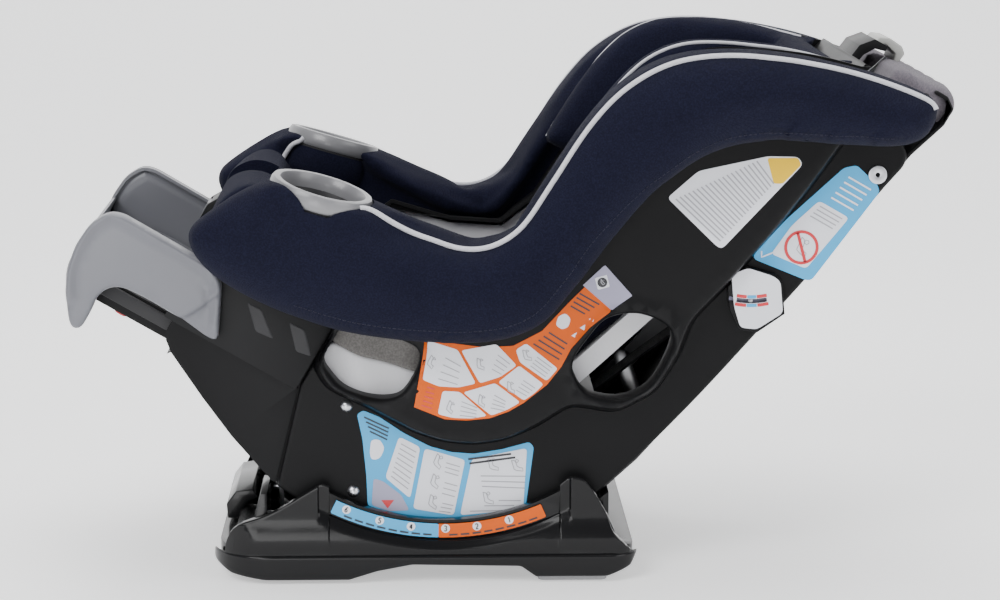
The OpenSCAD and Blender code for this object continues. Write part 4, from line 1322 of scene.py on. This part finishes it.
def base_parts():
    """The base's shell, tray, feet and recline handle."""
    soften("base_shell", 2.4, FINISHES["base_black"])
    soften("base_tray", 3.0, FINISHES["base_black"])
    soften("base_feet", 1.2, FINISHES["pad_light"])
    soften("recline_handle", 2.2, FINISHES["base_black"])
    for node in ("recline_pull_rods", "recline_lock_bolt", "base_screws"):
        soften(node, 0.4, FINISHES["steel_plated"])
    trim_tray()
    return_springs()
    shape = Shape()
    for side in (-1, 1):
        base_side(shape, side)
        flange = [(-214, 26.5), (-214.5, 16), (-198, 8), (-165, 4), (-88, 4), (-62, 12), (-30, 18), (70, 16), (84, 6),
                  (150, 6), (172, 14), (179.5, 26.5)]
        moulding(shape, rounded(flange, 1.5, 2), [], flange_height, 152, side, base, FINISHES["base_black"], wall=2.0,
                 edge=1.8, coarse=7)
    settle(shape.build("base_side_moulding", 50), "base", "black_base")


def return_springs():
    """The recline handle's two return springs, in plated steel, riding on their body."""
    piece = bpy.data.objects.new("recline_springs_finished", frame["nodes"]["recline_springs"].data.copy())
    bpy.context.scene.collection.objects.link(piece)
    turn_outward(piece.data)
    piece.data.materials.clear()
    piece.data.materials.append(FINISHES["steel_plated"])
    settle(piece, body_of("recline_springs"), slot_of("recline_springs"), "recline_springs")
    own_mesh(piece)


def trim_tray():
    """Draws the tray's upper sides in under the side mouldings."""
    piece = bpy.data.objects["base_tray_finished"]
    points = read_points(piece)
    high = (points[:, 2] > 26 * MM) & (np.abs(points[:, 1]) > 157 * MM)
    points[high, 1] = np.sign(points[high, 1]) * 157 * MM
    write_points(piece, points)


def flange_height(points):
    """Outer face of the base's bottom flange, following the tray's rounded corners."""
    x = points[:, 0]
    front, rear = np.clip(-160 - x, 0, 54.9), np.clip(x - 150, 0, 29.9)
    return 171.5 - 55 + np.sqrt(55 ** 2 - front ** 2) - 30 + np.sqrt(30 ** 2 - rear ** 2)


def base_side(shape, side):
    """One side of the base: a smooth wall rolled out under the number strip and flared to the flange."""
    centre = np.array([0.0, PIVOT_HEIGHT])
    top = np.vstack([smooth_curve([(-203, 29), (-200, 41), (-190, 54), (-160, 65), (-124, 86), (-113, 92),
                                   (-105.5, 90)], 6)[:-1], arc(241.6, 244.1, 295.9, 70) + centre,
                     smooth_curve([(105.5, 90), (115, 97), (124, 97), (133, 91), (148, 66), (156, 46), (172, 29)],
                                  6)[1:]])
    rows = [0, 0.8, 1.8, 3, 4.5, 6, 8, 10, 12.5, 15.5, 19]
    columns = []
    for x, z in top:
        depth = z - 26.2
        near = [r for r in rows if r < depth * 0.7] or [0]
        below = np.linspace(near[-1], depth, 13 + len(rows) - len(near))[1:]
        across = np.array([*near, *below])
        z_all = z - across
        reach = np.hypot(np.full(len(z_all), x), z_all - PIVOT_HEIGHT)
        roll = ease((reach - 241.6) / 9) if abs(x) < 116 else np.ones(len(z_all))
        lean = 3.4 * roll + 4.6 * ease((62 - z_all) / 24)
        crown = 1.6 - np.sqrt(np.maximum(1.6 ** 2 - np.maximum(1.6 - across, 0) ** 2, 0))
        y = np.minimum(159.6 + lean - crown, flange_height(np.column_stack([np.full(len(z_all), x), z_all])) - 1.6)
        columns.append(np.column_stack([np.full(len(z_all), x), side * y, z_all]))
    grid = np.array(columns)
    count, deep = grid.shape[:2]
    back = grid.copy()
    back[:, :, 1] = side * np.minimum(156.0, np.abs(grid[:, :, 1]) - 1.5)
    points = base(np.vstack([grid.reshape(-1, 3), back.reshape(-1, 3)]))
    first = count * deep
    faces = []
    for i in range(count - 1):
        for k in range(deep - 1):
            a, b = i * deep + k, (i + 1) * deep + k
            faces += [(a, b, b + 1, a + 1), (first + a, first + a + 1, first + b + 1, first + b)]
        for k in (0, deep - 1):
            a, b = i * deep + k, (i + 1) * deep + k
            faces.append((a, first + a, first + b, b))
    for i in (0, count - 1):
        for k in range(deep - 1):
            a = i * deep + k
            faces.append((a, a + 1, first + a + 1, first + a))
    shape.add(points, faces, FINISHES["base_black"])


DIGITS = {
    "1": [[(0.3, 0.8), (0.55, 1), (0.55, 0)]],
    "2": [[(0.15, 0.8), (0.3, 0.97), (0.6, 1), (0.8, 0.8), (0.75, 0.55), (0.15, 0), (0.85, 0)]],
    "3": [[(0.15, 0.9), (0.45, 1), (0.78, 0.85), (0.72, 0.6), (0.45, 0.53), (0.78, 0.42), (0.82, 0.15),
           (0.5, 0), (0.15, 0.1)]],
    "4": [[(0.65, 0), (0.65, 1), (0.12, 0.3), (0.9, 0.3)]],
    "5": [[(0.8, 1), (0.25, 1), (0.2, 0.55), (0.55, 0.62), (0.82, 0.4), (0.75, 0.1), (0.45, 0), (0.15, 0.1)]],
    "6": [[(0.75, 0.95), (0.45, 0.9), (0.2, 0.5), (0.22, 0.15), (0.5, 0), (0.8, 0.15), (0.8, 0.4), (0.5, 0.55),
           (0.22, 0.35)]],
}


def strokes(shape, lines, width, y, place, material):
    """Flat printed strokes along lines, a little proud of the face they are on."""
    for line in lines:
        line = resample(line, max(width, 1.2))
        normals = line_normals(line, False) * width / 2
        left, right = line + normals, line - normals
        n = len(line)
        points = np.column_stack([np.concatenate([left[:, 0], right[:, 0]]), np.full(2 * n, y),
                                  np.concatenate([left[:, 1], right[:, 1]])])
        faces = []
        for i in range(n - 1):
            face = (i, i + 1, n + i + 1, n + i)
            faces.append(face if y > 0 else face[::-1])
        shape.add(place(points), faces, material)


def disc(centre, radius, count=24):
    """Points of a circle."""
    return np.array([(centre[0] + radius * math.cos(a), centre[1] + radius * math.sin(a))
                     for a in np.linspace(0, 2 * math.pi, count + 1)[:-1]])


def recline_scales():
    """The numbered strips of the six recline positions, with the pointer on the shell."""
    centre = np.array([0.0, PIVOT_HEIGHT])
    for name, side in SIDES.items():
        shape = Shape()
        for start, end, material in ((244, 268.6, "print_blue"), (268.6, 293, "print_orange")):
            band = np.vstack([arc(226.5, start, end, 40), arc(239.5, end, start, 40)]) + centre
            decal(shape, band, lambda p: np.full(len(p), 161.4), 0, side, base, FINISHES[material], step=2)
        for start in [*np.arange(247, 267, 2.6), *np.arange(271, 290, 2.6)]:
            strokes(shape, [arc(237, start, start + 1.9, 5) + centre], 1.7, side * 161.6, base, FINISHES["print_dark"])
        for digit, angle in zip("654321", (-23, -15, -7.7, 0.2, 7.4, 14.9)):
            turn = math.radians(270 + angle)
            middle = centre + 230.9 * np.array([math.cos(turn), math.sin(turn)])
            decal(shape, disc(middle, 4.1), lambda p: np.full(len(p), 161.6), 0, side, base,
                  FINISHES["print_white"], step=1.5)
            cos, sin = math.cos(math.radians(angle)), math.sin(math.radians(angle))
            lines = []
            for line in DIGITS[digit]:
                p = (np.array(line) - (0.5, 0.5)) * (3.4, 5.0)
                if side > 0:
                    p = p * (-1, 1)
                lines.append(np.column_stack([p[:, 0] * cos - p[:, 1] * sin, p[:, 0] * sin + p[:, 1] * cos]) + middle)
            strokes(shape, lines, 1.1, side * 161.8, base, FINISHES["print_dark"])
        settle(shape.build("recline_numbers_" + name, outward=False), "base", "scale_print", "recline_scale_" + name)
    pointer = Shape()
    for side in (-1, 1):
        tip = np.radians(255.5)
        out = np.array([math.cos(tip), math.sin(tip)])
        across = np.array([-out[1], out[0]])
        turned = [out * 222 + across * 0, out * 212 + across * 6, out * 212 - across * 6]
        back = []
        for p in turned:
            c, s = math.cos(TILT), math.sin(TILT)
            back.append((p[0] * c - p[1] * s, p[0] * s + p[1] * c))
        decal(pointer, np.array(back), lambda p: np.full(len(p), LOW_SIDE + 0.5), 0, side, seat,
              FINISHES["print_red"], step=2)
    settle(pointer.build("recline_pointer", outward=False), "seat", "scale_print")


# ---------------------------------------------------------------- prints on the shell


def label_rows(shape, side, first, last, count, width, material, lift):
    """Evenly spaced rules between two end rules, standing in for lines of print."""
    first, last = np.asarray(first, float), np.asarray(last, float)
    for t in np.linspace(0, 1, count):
        strokes_on(shape, first * (1 - t) + last * t, width, side, material, lift)


def seated_figure(shape, side, place, size, turn, lift):
    """A small outline of a seat with a head above it."""
    cos, sin = math.cos(turn), math.sin(turn)
    for line in ([(-3, 6), (-2, -3), (5, -5), (5, -2), (1, -1), (0, 5), (-3, 6)], disc((1.4, 4.6), 1.6, 10)):
        p = np.vstack([line, line[:1]]) * size
        p = np.column_stack([p[:, 0] * cos - p[:, 1] * sin, p[:, 0] * sin + p[:, 1] * cos]) + place
        strokes_on(shape, p, 0.8, side, "print_grey", lift)


def belt_label(shape, side, flat):
    """The orange label round the belt path, with its white cells and lavender end."""
    flat([(34, -114), (64, -110), (82, -101), (99, -89), (111, -75), (119, -61), (129, -36), (132, -15), (131, 4),
          (136, 30), (145, 52), (119, 80), (108, 40), (100, 5), (84, -20), (62, -34), (38, -44), (10, -52),
          (17, -68)], "print_orange")
    for cell in ([(14, -54), (20, -66), (28, -88), (44, -86), (60, -78), (72, -67), (42, -48)],
                 [(45, -47), (75, -65), (88, -51), (96, -34), (70, -26)],
                 [(49, -88), (56, -109), (70, -105), (85, -97), (96, -88), (63, -81)],
                 [(66, -80), (99, -86), (109, -74), (116, -62), (87, -58)],
                 [(89, -56), (118, -59), (123, -48), (126, -37), (98, -33)],
                 [(88, -22), (97, -30), (127, -33), (130, -18), (93, -12)]):
        flat(rounded(cell, 2, 2), "print_white", 0.8)
    flat([(111, 60), (145, 53), (155, 74), (119, 86)], "print_lavender", 0.8)
    flat([(125, 79), (117, 71), (125, 63), (133, 71)], "print_white", 1.0)
    flat(disc((125, 71), 4.6, 16), "print_dark", 1.2)
    seated_figure(shape, side, (125, 71), 0.5, 0.4, 1.4)
    for x, z in ((134, 38), (131, 27), (128, 17)):
        flat([(x - 2.6, z - 2.4), (x + 2.4, z - 2.4), (x, z + 3)], "print_white", 0.8)
    flat(rounded([(106, 24), (110, 30), (117, 28), (119, 20), (115, 15), (108, 16)], 2, 2), "print_white", 0.8)
    label_rows(shape, side, [(112, 52), (133, 52)], [(111, 38), (126, 38)], 4, 1.5, "print_dark", 0.8)
    label_rows(shape, side, [(106, 7), (126, 6)], [(99, -9), (127, -10)], 4, 1.5, "print_dark", 0.8)
    label_rows(shape, side, [(35, -92), (42, -90)], [(39, -109), (49, -107)], 5, 1.1, "print_red", 0.8)
    for x, z, turn in ((62, -98, 0.5), (84, -79, 0.7), (101, -55, 0.9), (26, -70, 0.4), (66, -50, 0.9), (99, -22, 1.1)):
        seated_figure(shape, side, (x, z), 0.95, turn - 0.5, 1.1)
    for first, last in (([(69, -88), (84, -86)], [(74, -100), (88, -94)]), ([(92, -68), (104, -68)],
                        [(95, -80), (107, -76)]), ([(108, -43), (121, -44)], [(107, -54), (118, -54)]),
                        ([(36, -60), (52, -60)], [(40, -80), (58, -76)]), ([(76, -34), (90, -36)],
                        [(78, -48), (88, -48)]), ([(108, -18), (125, -20)], [(107, -28), (124, -30)])):
        label_rows(shape, side, first, last, 4, 0.8, "print_grey", 1.1)


def rocker_label(shape, side, flat):
    """The blue label along the shell's lower edge, with its white columns and warning sign."""
    flat(rounded([(-6, -150), (-3, -144), (13, -142), (40, -144), (67, -143), (87, -138), (106, -129), (127, -112),
                  (145, -94), (151, -96), (175, -154), (143, -181), (111, -200), (76, -214), (45, -220), (30, -196),
                  (10, -168)], 2, 2), "print_blue")
    for cell in ([(17, -164), (24, -160), (32, -165), (33, -176), (27, -181), (22, -176)], [(38, -149), (60, -148), (76, -195), (46, -189)],
                 [(64, -147), (102, -138), (119, -189), (83, -202)],
                 [(107, -134), (146, -100), (172, -152), (124, -186)]):
        flat(rounded(cell, 3, 2), "print_white", 0.8)
    flat(rounded([(37, -195), (46, -193), (67, -196), (81, -205), (65, -215), (48, -218)], 2, 2),
         "print_lavender", 0.8)
    flat([(62.5, -213.3), (53.3, -209.4), (63.7, -203.4)], "print_red", 1.0)
    label_rows(shape, side, [(1, -149), (26, -147)], [(12, -158), (30, -157)], 4, 1.5, "print_dark", 0.8)
    label_rows(shape, side, [(104, -136), (136, -112)], [(107, -139), (141, -113)], 2, 1.9, "print_dark", 1.1)
    label_rows(shape, side, [(43, -154), (59, -154)], [(50, -185), (70, -188)], 8, 1.0, "print_grey", 1.1)
    for x, z, turn in ((80, -152, 0.0), (87, -170, 0.1), (95, -188, 0.2), (126, -130, 0.6), (146, -120, 0.7),
                       (138, -160, 0.6)):
        seated_figure(shape, side, (x, z), 1.1, turn, 1.1)
    for first, last in (([(88, -149), (101, -146)], [(91, -157), (104, -154)]),
                        ([(96, -166), (108, -163)], [(99, -176), (111, -173)]),
                        ([(104, -184), (114, -181)], [(105, -192), (115, -188)]),
                        ([(122, -144), (158, -124)], [(128, -152), (163, -134)]),
                        ([(148, -156), (166, -146)], [(130, -178), (160, -160)])):
        label_rows(shape, side, first, last, 3, 0.9, "print_grey", 1.1)


def upper_labels(shape, side, flat):
    """The notice and the height label on the upper part of the shell."""
    flat(rounded([(137, 167), (149, 202), (197, 245), (221, 258), (228, 254), (204, 152), (199, 151)], 4),
         "print_white")
    flat(rounded([(197, 243), (221, 257), (227, 253), (221, 230), (214, 226)], 2), "print_yellow", 0.8)
    label_rows(shape, side, [(144, 170), (199, 157)], [(190, 236), (214, 226)], 20, 1.3, "print_grey", 0.8)
    flat(rounded([(266, 269), (275, 277), (301, 271), (306, 266), (294, 166), (290, 163), (238, 156), (234, 161),
                  (245, 203)], 3), "print_blue")
    flat(rounded([(249, 168), (284, 172), (294, 232), (262, 232), (252, 200)], 4), "print_white", 0.8)
    sign = disc((270, 187), 14.5, 48)
    strokes_on(shape, np.vstack([sign, sign[:1]]), 2.8, side, "print_red", 1.1)
    strokes_on(shape, [(260, 197), (280, 177)], 2.8, side, "print_red", 1.1)
    seated_figure(shape, side, (270, 187), 1.4, 0.0, 1.0)
    label_rows(shape, side, [(262, 216), (286, 216)], [(265, 228), (289, 228)], 4, 1.1, "print_grey", 1.1)
    label_rows(shape, side, [(270, 240), (294, 240)], [(274, 264), (298, 264)], 5, 1.6, "print_white", 0.8)
    strokes_on(shape, [(240, 166), (243, 161), (250, 170)], 1.4, side, "print_white", 0.8)


def seat_prints():
    """The shell's labels, as plain bands, cells, rules and signs."""
    for name, side in SIDES.items():
        shape = Shape()

        def flat(outline, material, lift=0.55):
            decal(shape, np.asarray(outline, float), side_height, lift, side, seat, FINISHES[material], step=2)

        upper_labels(shape, side, flat)
        belt_label(shape, side, flat)
        rocker_label(shape, side, flat)
        settle(shape.build("seat_prints_" + name, outward=False), "seat", "scale_print")


def strokes_on(shape, line, width, side, material, lift=0.65):
    """Printed strokes that follow the shell's side."""
    line = resample(np.asarray(line, float), 3)
    normals = line_normals(line, False) * width / 2
    loop = np.vstack([line + normals, (line - normals)])
    n = len(line)
    y = side_height(loop) + lift
    points = np.column_stack([loop[:, 0], side * y, loop[:, 1]])
    faces = [(i, i + 1, n + i + 1, n + i) for i in range(n - 1)]
    if side < 0:
        faces = [f[::-1] for f in faces]
    shape.add(seat(points), faces, FINISHES[material])


def level_indicators():
    """The level indicators' windows, with their coloured arcs and white beads."""
    centre = np.array([254 - 70 * math.sin(math.radians(30)), 122 + 70 * math.cos(math.radians(30))])
    track = np.vstack([arc(68, 289, 312, 24), arc(72, 312, 289, 24)]) + centre
    plate = rounded([(226, 134), (236, 147), (260, 152), (268, 151), (285, 127), (272, 102), (258, 96), (243, 110)],
                    4)
    for name, side in SIDES.items():
        soften("level_housing_" + name, 1.2, FINISHES["shell_black"])
        soften("level_ball_" + name, 0.2, FINISHES["print_white"])
        shape = Shape()
        decal(shape, plate, lambda p: np.full(len(p), LOW_SIDE + 9.2), 0, side, seat, FINISHES["print_white"], step=2,
              holes=[track])
        floor = np.vstack([arc(66, 284, 316, 24), arc(74, 316, 284, 24)]) + centre
        decal(shape, floor, lambda p: np.full(len(p), LOW_SIDE + 2.2), 0, side, seat, FINISHES["print_lavender"])
        for start, end, material in ((288.5, 296.5, "print_red"), (297, 304, "print_blue"),
                                     (304.5, 312.5, "print_red")):
            for low, high in ((64.5, 67.6), (72.4, 75.5)):
                band = np.vstack([arc(low, start, end, 10), arc(high, end, start, 10)]) + centre
                decal(shape, band, lambda p: np.full(len(p), LOW_SIDE + 9.4), 0, side, seat, FINISHES[material],
                      step=1.5)
        settle(shape.build("level_prints_" + name, outward=False), "seat", "scale_print")


def fasteners():
    """Rivets and bolts of the frame."""
    soften("frame_rivets", 0.5, FINISHES["steel_plated"])
    soften("frame_bolts", 0.6, FINISHES["steel_plated"])


# ---------------------------------------------------------------- stage


def make_stage(settings):
    """A pale floor and backdrop, soft studio light and the camera. The backdrop is one-sided: a camera behind it
    looks through."""
    floor = bpy.data.meshes.new("studio_floor")
    sweep = [(-12.0, 0.0), (1.4, 0.0)] + [(1.4 + 1.2 * math.sin(a), 1.2 - 1.2 * math.cos(a))
                                         for a in np.radians(np.arange(6, 91, 6))] + [(2.6, 5.0)]
    corners = [(x, y, z) for y, z in sweep for x in (-12.0, 12.0)]
    floor.from_pydata(corners, [], [(2 * i, 2 * i + 1, 2 * i + 3, 2 * i + 2) for i in range(len(sweep) - 1)])
    floor.polygons.foreach_set("use_smooth", [True] * len(floor.polygons))
    material = bpy.data.materials.new("studio_white")
    material.use_nodes = True
    shader = material.node_tree.nodes["Principled BSDF"]
    shader.inputs["Base Color"].default_value = (0.92, 0.92, 0.92, 1)
    shader.inputs["Emission Color"].default_value = (1, 1, 1, 1)
    shader.inputs["Emission Strength"].default_value = 0.6
    shader.inputs["Roughness"].default_value = 0.75
    nodes, links = material.node_tree.nodes, material.node_tree.links
    facing, clear = nodes.new("ShaderNodeNewGeometry"), nodes.new("ShaderNodeBsdfTransparent")
    one_sided = nodes.new("ShaderNodeMixShader")
    links.new(facing.outputs["Backfacing"], one_sided.inputs[0])
    links.new(shader.outputs[0], one_sided.inputs[1])
    links.new(clear.outputs[0], one_sided.inputs[2])
    links.new(one_sided.outputs[0], nodes["Material Output"].inputs["Surface"])
    floor.materials.append(material)
    ground = bpy.data.objects.new("studio_floor", floor)
    bpy.context.scene.collection.objects.link(ground)
    world = bpy.data.worlds.new("studio")
    world.use_nodes = True
    world.node_tree.nodes["Background"].inputs[0].default_value = (0.95, 0.96, 1.0, 1)
    world.node_tree.nodes["Background"].inputs[1].default_value = settings.world_light
    bpy.context.scene.world = world
    for name, place, width, power in (("key", (-1.6, -2.2, 2.3), 1.6, 60), ("fill", (2.2, -1.6, 1.2), 1.6, 22),
                                      ("top", (0.1, 0.3, 2.6), 2.0, 45), ("low_front", (-0.6, -2.4, 0.25), 0.9, 12)):
        lamp = bpy.data.lights.new(name + "_light", "AREA")
        lamp.shape, lamp.size, lamp.energy = "SQUARE", width, power * settings.key_light
        light = bpy.data.objects.new(name + "_light", lamp)
        light.location = place
        light.rotation_euler = (Vector((0, 0, 0.22)) - Vector(place)).to_track_quat("-Z", "Y").to_euler()
        bpy.context.scene.collection.objects.link(light)
    camera = bpy.data.cameras.new("camera")
    camera.sensor_width, camera.lens = 36, 104.4
    view = bpy.data.objects.new("camera", camera)
    up, turn = math.radians(10), math.radians(1.6)
    forward = Vector((math.sin(turn) * math.cos(up), math.cos(turn) * math.cos(up), -math.sin(up)))
    view.location = Vector((-0.0061, 0, 0.235)) - forward * 2.8
    view.rotation_euler = forward.to_track_quat("-Z", "Y").to_euler()
    bpy.context.scene.collection.objects.link(view)
    bpy.context.scene.camera = view


def plain_nodes():
    """Gives every CAD node that still shows its finish."""
    for node, thing in frame["nodes"].items():
        finish = FINISHES[NODE_FINISH[slot_of(node)]]
        if node.startswith("frame_"):
            finish = FINISHES["steel_dark"]
        thing.data.materials.clear()
        thing.data.materials.append(finish)


# ---------------------------------------------------------------- the add-on's parts


class SeatColours(bpy.types.PropertyGroup):
    """Colours and light of the seat."""

    shell: bpy.props.FloatVectorProperty(name="Shell", description="Colour of the shell mouldings", size=3,
                                         subtype="COLOR", min=0, max=1, default=(0.004, 0.004, 0.0045))
    base: bpy.props.FloatVectorProperty(name="Base", description="Colour of the base", size=3, subtype="COLOR",
                                        min=0, max=1, default=(0.0025, 0.0025, 0.003))
    panel: bpy.props.FloatVectorProperty(name="Panel", description="Colour of the sliding leg-room panel", size=3,
                                         subtype="COLOR", min=0, max=1, default=(0.125, 0.128, 0.145))
    rim: bpy.props.FloatVectorProperty(name="Cup rims", description="Colour of the cup holders", size=3,
                                       subtype="COLOR", min=0, max=1, default=(0.17, 0.17, 0.178))
    foam: bpy.props.FloatVectorProperty(name="Foam", description="Colour of the bare foam", size=3,
                                        subtype="COLOR", min=0, max=1, default=(0.62, 0.62, 0.64))
    cover_dark: bpy.props.FloatVectorProperty(name="Cover, dark yarn", description="Darker yarn of the cover",
                                              size=3, subtype="COLOR", min=0, max=1, default=(0.0034, 0.0038, 0.0115))
    cover_light: bpy.props.FloatVectorProperty(name="Cover, light yarn", description="Lighter yarn of the cover",
                                               size=3, subtype="COLOR", min=0, max=1, default=(0.012, 0.0132, 0.031))
    piping: bpy.props.FloatVectorProperty(name="Piping", description="Colour of the welt piping", size=3,
                                          subtype="COLOR", min=0, max=1, default=(0.66, 0.66, 0.70))
    print_white: bpy.props.FloatVectorProperty(name="Print, white", description="White of the labels", size=3,
                                               subtype="COLOR", min=0, max=1, default=(0.72, 0.73, 0.78))
    print_blue: bpy.props.FloatVectorProperty(name="Print, blue", description="Blue of the labels", size=3,
                                              subtype="COLOR", min=0, max=1, default=(0.06, 0.36, 0.66))
    print_orange: bpy.props.FloatVectorProperty(name="Print, orange", description="Orange of the labels", size=3,
                                                subtype="COLOR", min=0, max=1, default=(0.62, 0.095, 0.004))
    print_yellow: bpy.props.FloatVectorProperty(name="Print, yellow", description="Yellow of the labels", size=3,
                                                subtype="COLOR", min=0, max=1, default=(0.8, 0.5, 0.02))
    world_light: bpy.props.FloatProperty(name="Ambient light", description="Strength of the light all round",
                                         min=0, max=4, default=0.45)
    key_light: bpy.props.FloatProperty(name="Studio light", description="Strength of the studio lights",
                                       min=0, max=4, default=1.25)


class BuildFinishes(bpy.types.Operator):
    """Makes the seat's materials."""

    bl_idname = "carseat.finishes"
    bl_label = "Materials"

    def execute(self, context):
        make_finishes(context.scene.car_seat)
        plain_nodes()
        return {"FINISHED"}


class BuildStage(bpy.types.Operator):
    """Makes the floor, the lights and the camera."""

    bl_idname = "carseat.stage"
    bl_label = "Studio"

    def execute(self, context):
        make_stage(context.scene.car_seat)
        return {"FINISHED"}


class BuildBase(bpy.types.Operator):
    """Builds the base, its feet and the recline handle."""

    bl_idname = "carseat.base"
    bl_label = "Base"

    def execute(self, context):
        base_parts()
        recline_scales()
        return {"FINISHED"}


class BuildShell(bpy.types.Operator):
    """Builds the seat's shell, its belt paths and the lining's top end."""

    bl_idname = "carseat.shell"
    bl_label = "Shell"

    def execute(self, context):
        for name, side in SIDES.items():
            shell_side(side, name)
        shell_parts()
        belt_path_lining()
        top_end()
        fasteners()
        return {"FINISHED"}


class BuildPrints(bpy.types.Operator):
    """Adds the plain labels and the level indicators."""

    bl_idname = "carseat.prints"
    bl_label = "Prints"

    def execute(self, context):
        seat_prints()
        level_indicators()
        return {"FINISHED"}


class BuildBolsters(bpy.types.Operator):
    """Builds the side bolsters with their piping and the cup holders."""

    bl_idname = "carseat.bolsters"
    bl_label = "Side bolsters"

    def execute(self, context):
        covers = {name: side_bolster(side, name) for name, side in SIDES.items()}
        bolster_trim(covers)
        for name, side in SIDES.items():
            cup_holder(side, name)
        return {"FINISHED"}


class BuildCushions(bpy.types.Operator):
    """Builds the seat and back cushions."""

    bl_idname = "carseat.cushions"
    bl_label = "Cushions"

    def execute(self, context):
        cushions()
        return {"FINISHED"}


class BuildHeadrest(bpy.types.Operator):
    """Builds the headrest."""

    bl_idname = "carseat.headrest"
    bl_label = "Headrest"

    def execute(self, context):
        headrest()
        return {"FINISHED"}


class BuildHarness(bpy.types.Operator):
    """Builds the harness with its buckle, clip and adjuster."""

    bl_idname = "carseat.harness"
    bl_label = "Harness"

    def execute(self, context):
        harness()
        return {"FINISHED"}


class BuildExtension(bpy.types.Operator):
    """Builds the sliding leg-room panel."""

    bl_idname = "carseat.extension"
    bl_label = "Leg-room panel"

    def execute(self, context):
        extension()
        return {"FINISHED"}


STEPS = (BuildFinishes, BuildStage, BuildBase, BuildShell, BuildPrints, BuildExtension, BuildHarness,
         BuildHeadrest, BuildCushions, BuildBolsters)


class CarSeatPanel(bpy.types.Panel):
    """Lists the seat's colours and the pieces that can be built."""

    bl_idname = "VIEW3D_PT_car_seat"
    bl_label = "Car Seat"
    bl_space_type = "VIEW_3D"
    bl_region_type = "UI"
    bl_category = "Car Seat"

    def draw(self, context):
        for name in SeatColours.__annotations__:
            self.layout.prop(context.scene.car_seat, name)
        for step in STEPS:
            self.layout.operator(step.bl_idname)


CLASSES = (SeatColours, *STEPS, CarSeatPanel)


def register():
    """Registers the add-on."""
    for item in CLASSES:
        bpy.utils.register_class(item)
    bpy.types.Scene.car_seat = bpy.props.PointerProperty(type=SeatColours)


def unregister():
    """Removes the add-on."""
    del bpy.types.Scene.car_seat
    for item in reversed(CLASSES):
        bpy.utils.unregister_class(item)


def main():
    """Builds the whole seat."""
    register()
    for step in STEPS:
        group, call = step.bl_idname.split(".")
        if getattr(getattr(bpy.ops, group), call)() != {"FINISHED"}:
            raise RuntimeError(step.bl_label + " did not finish")


if __name__ == "__main__":
    main()
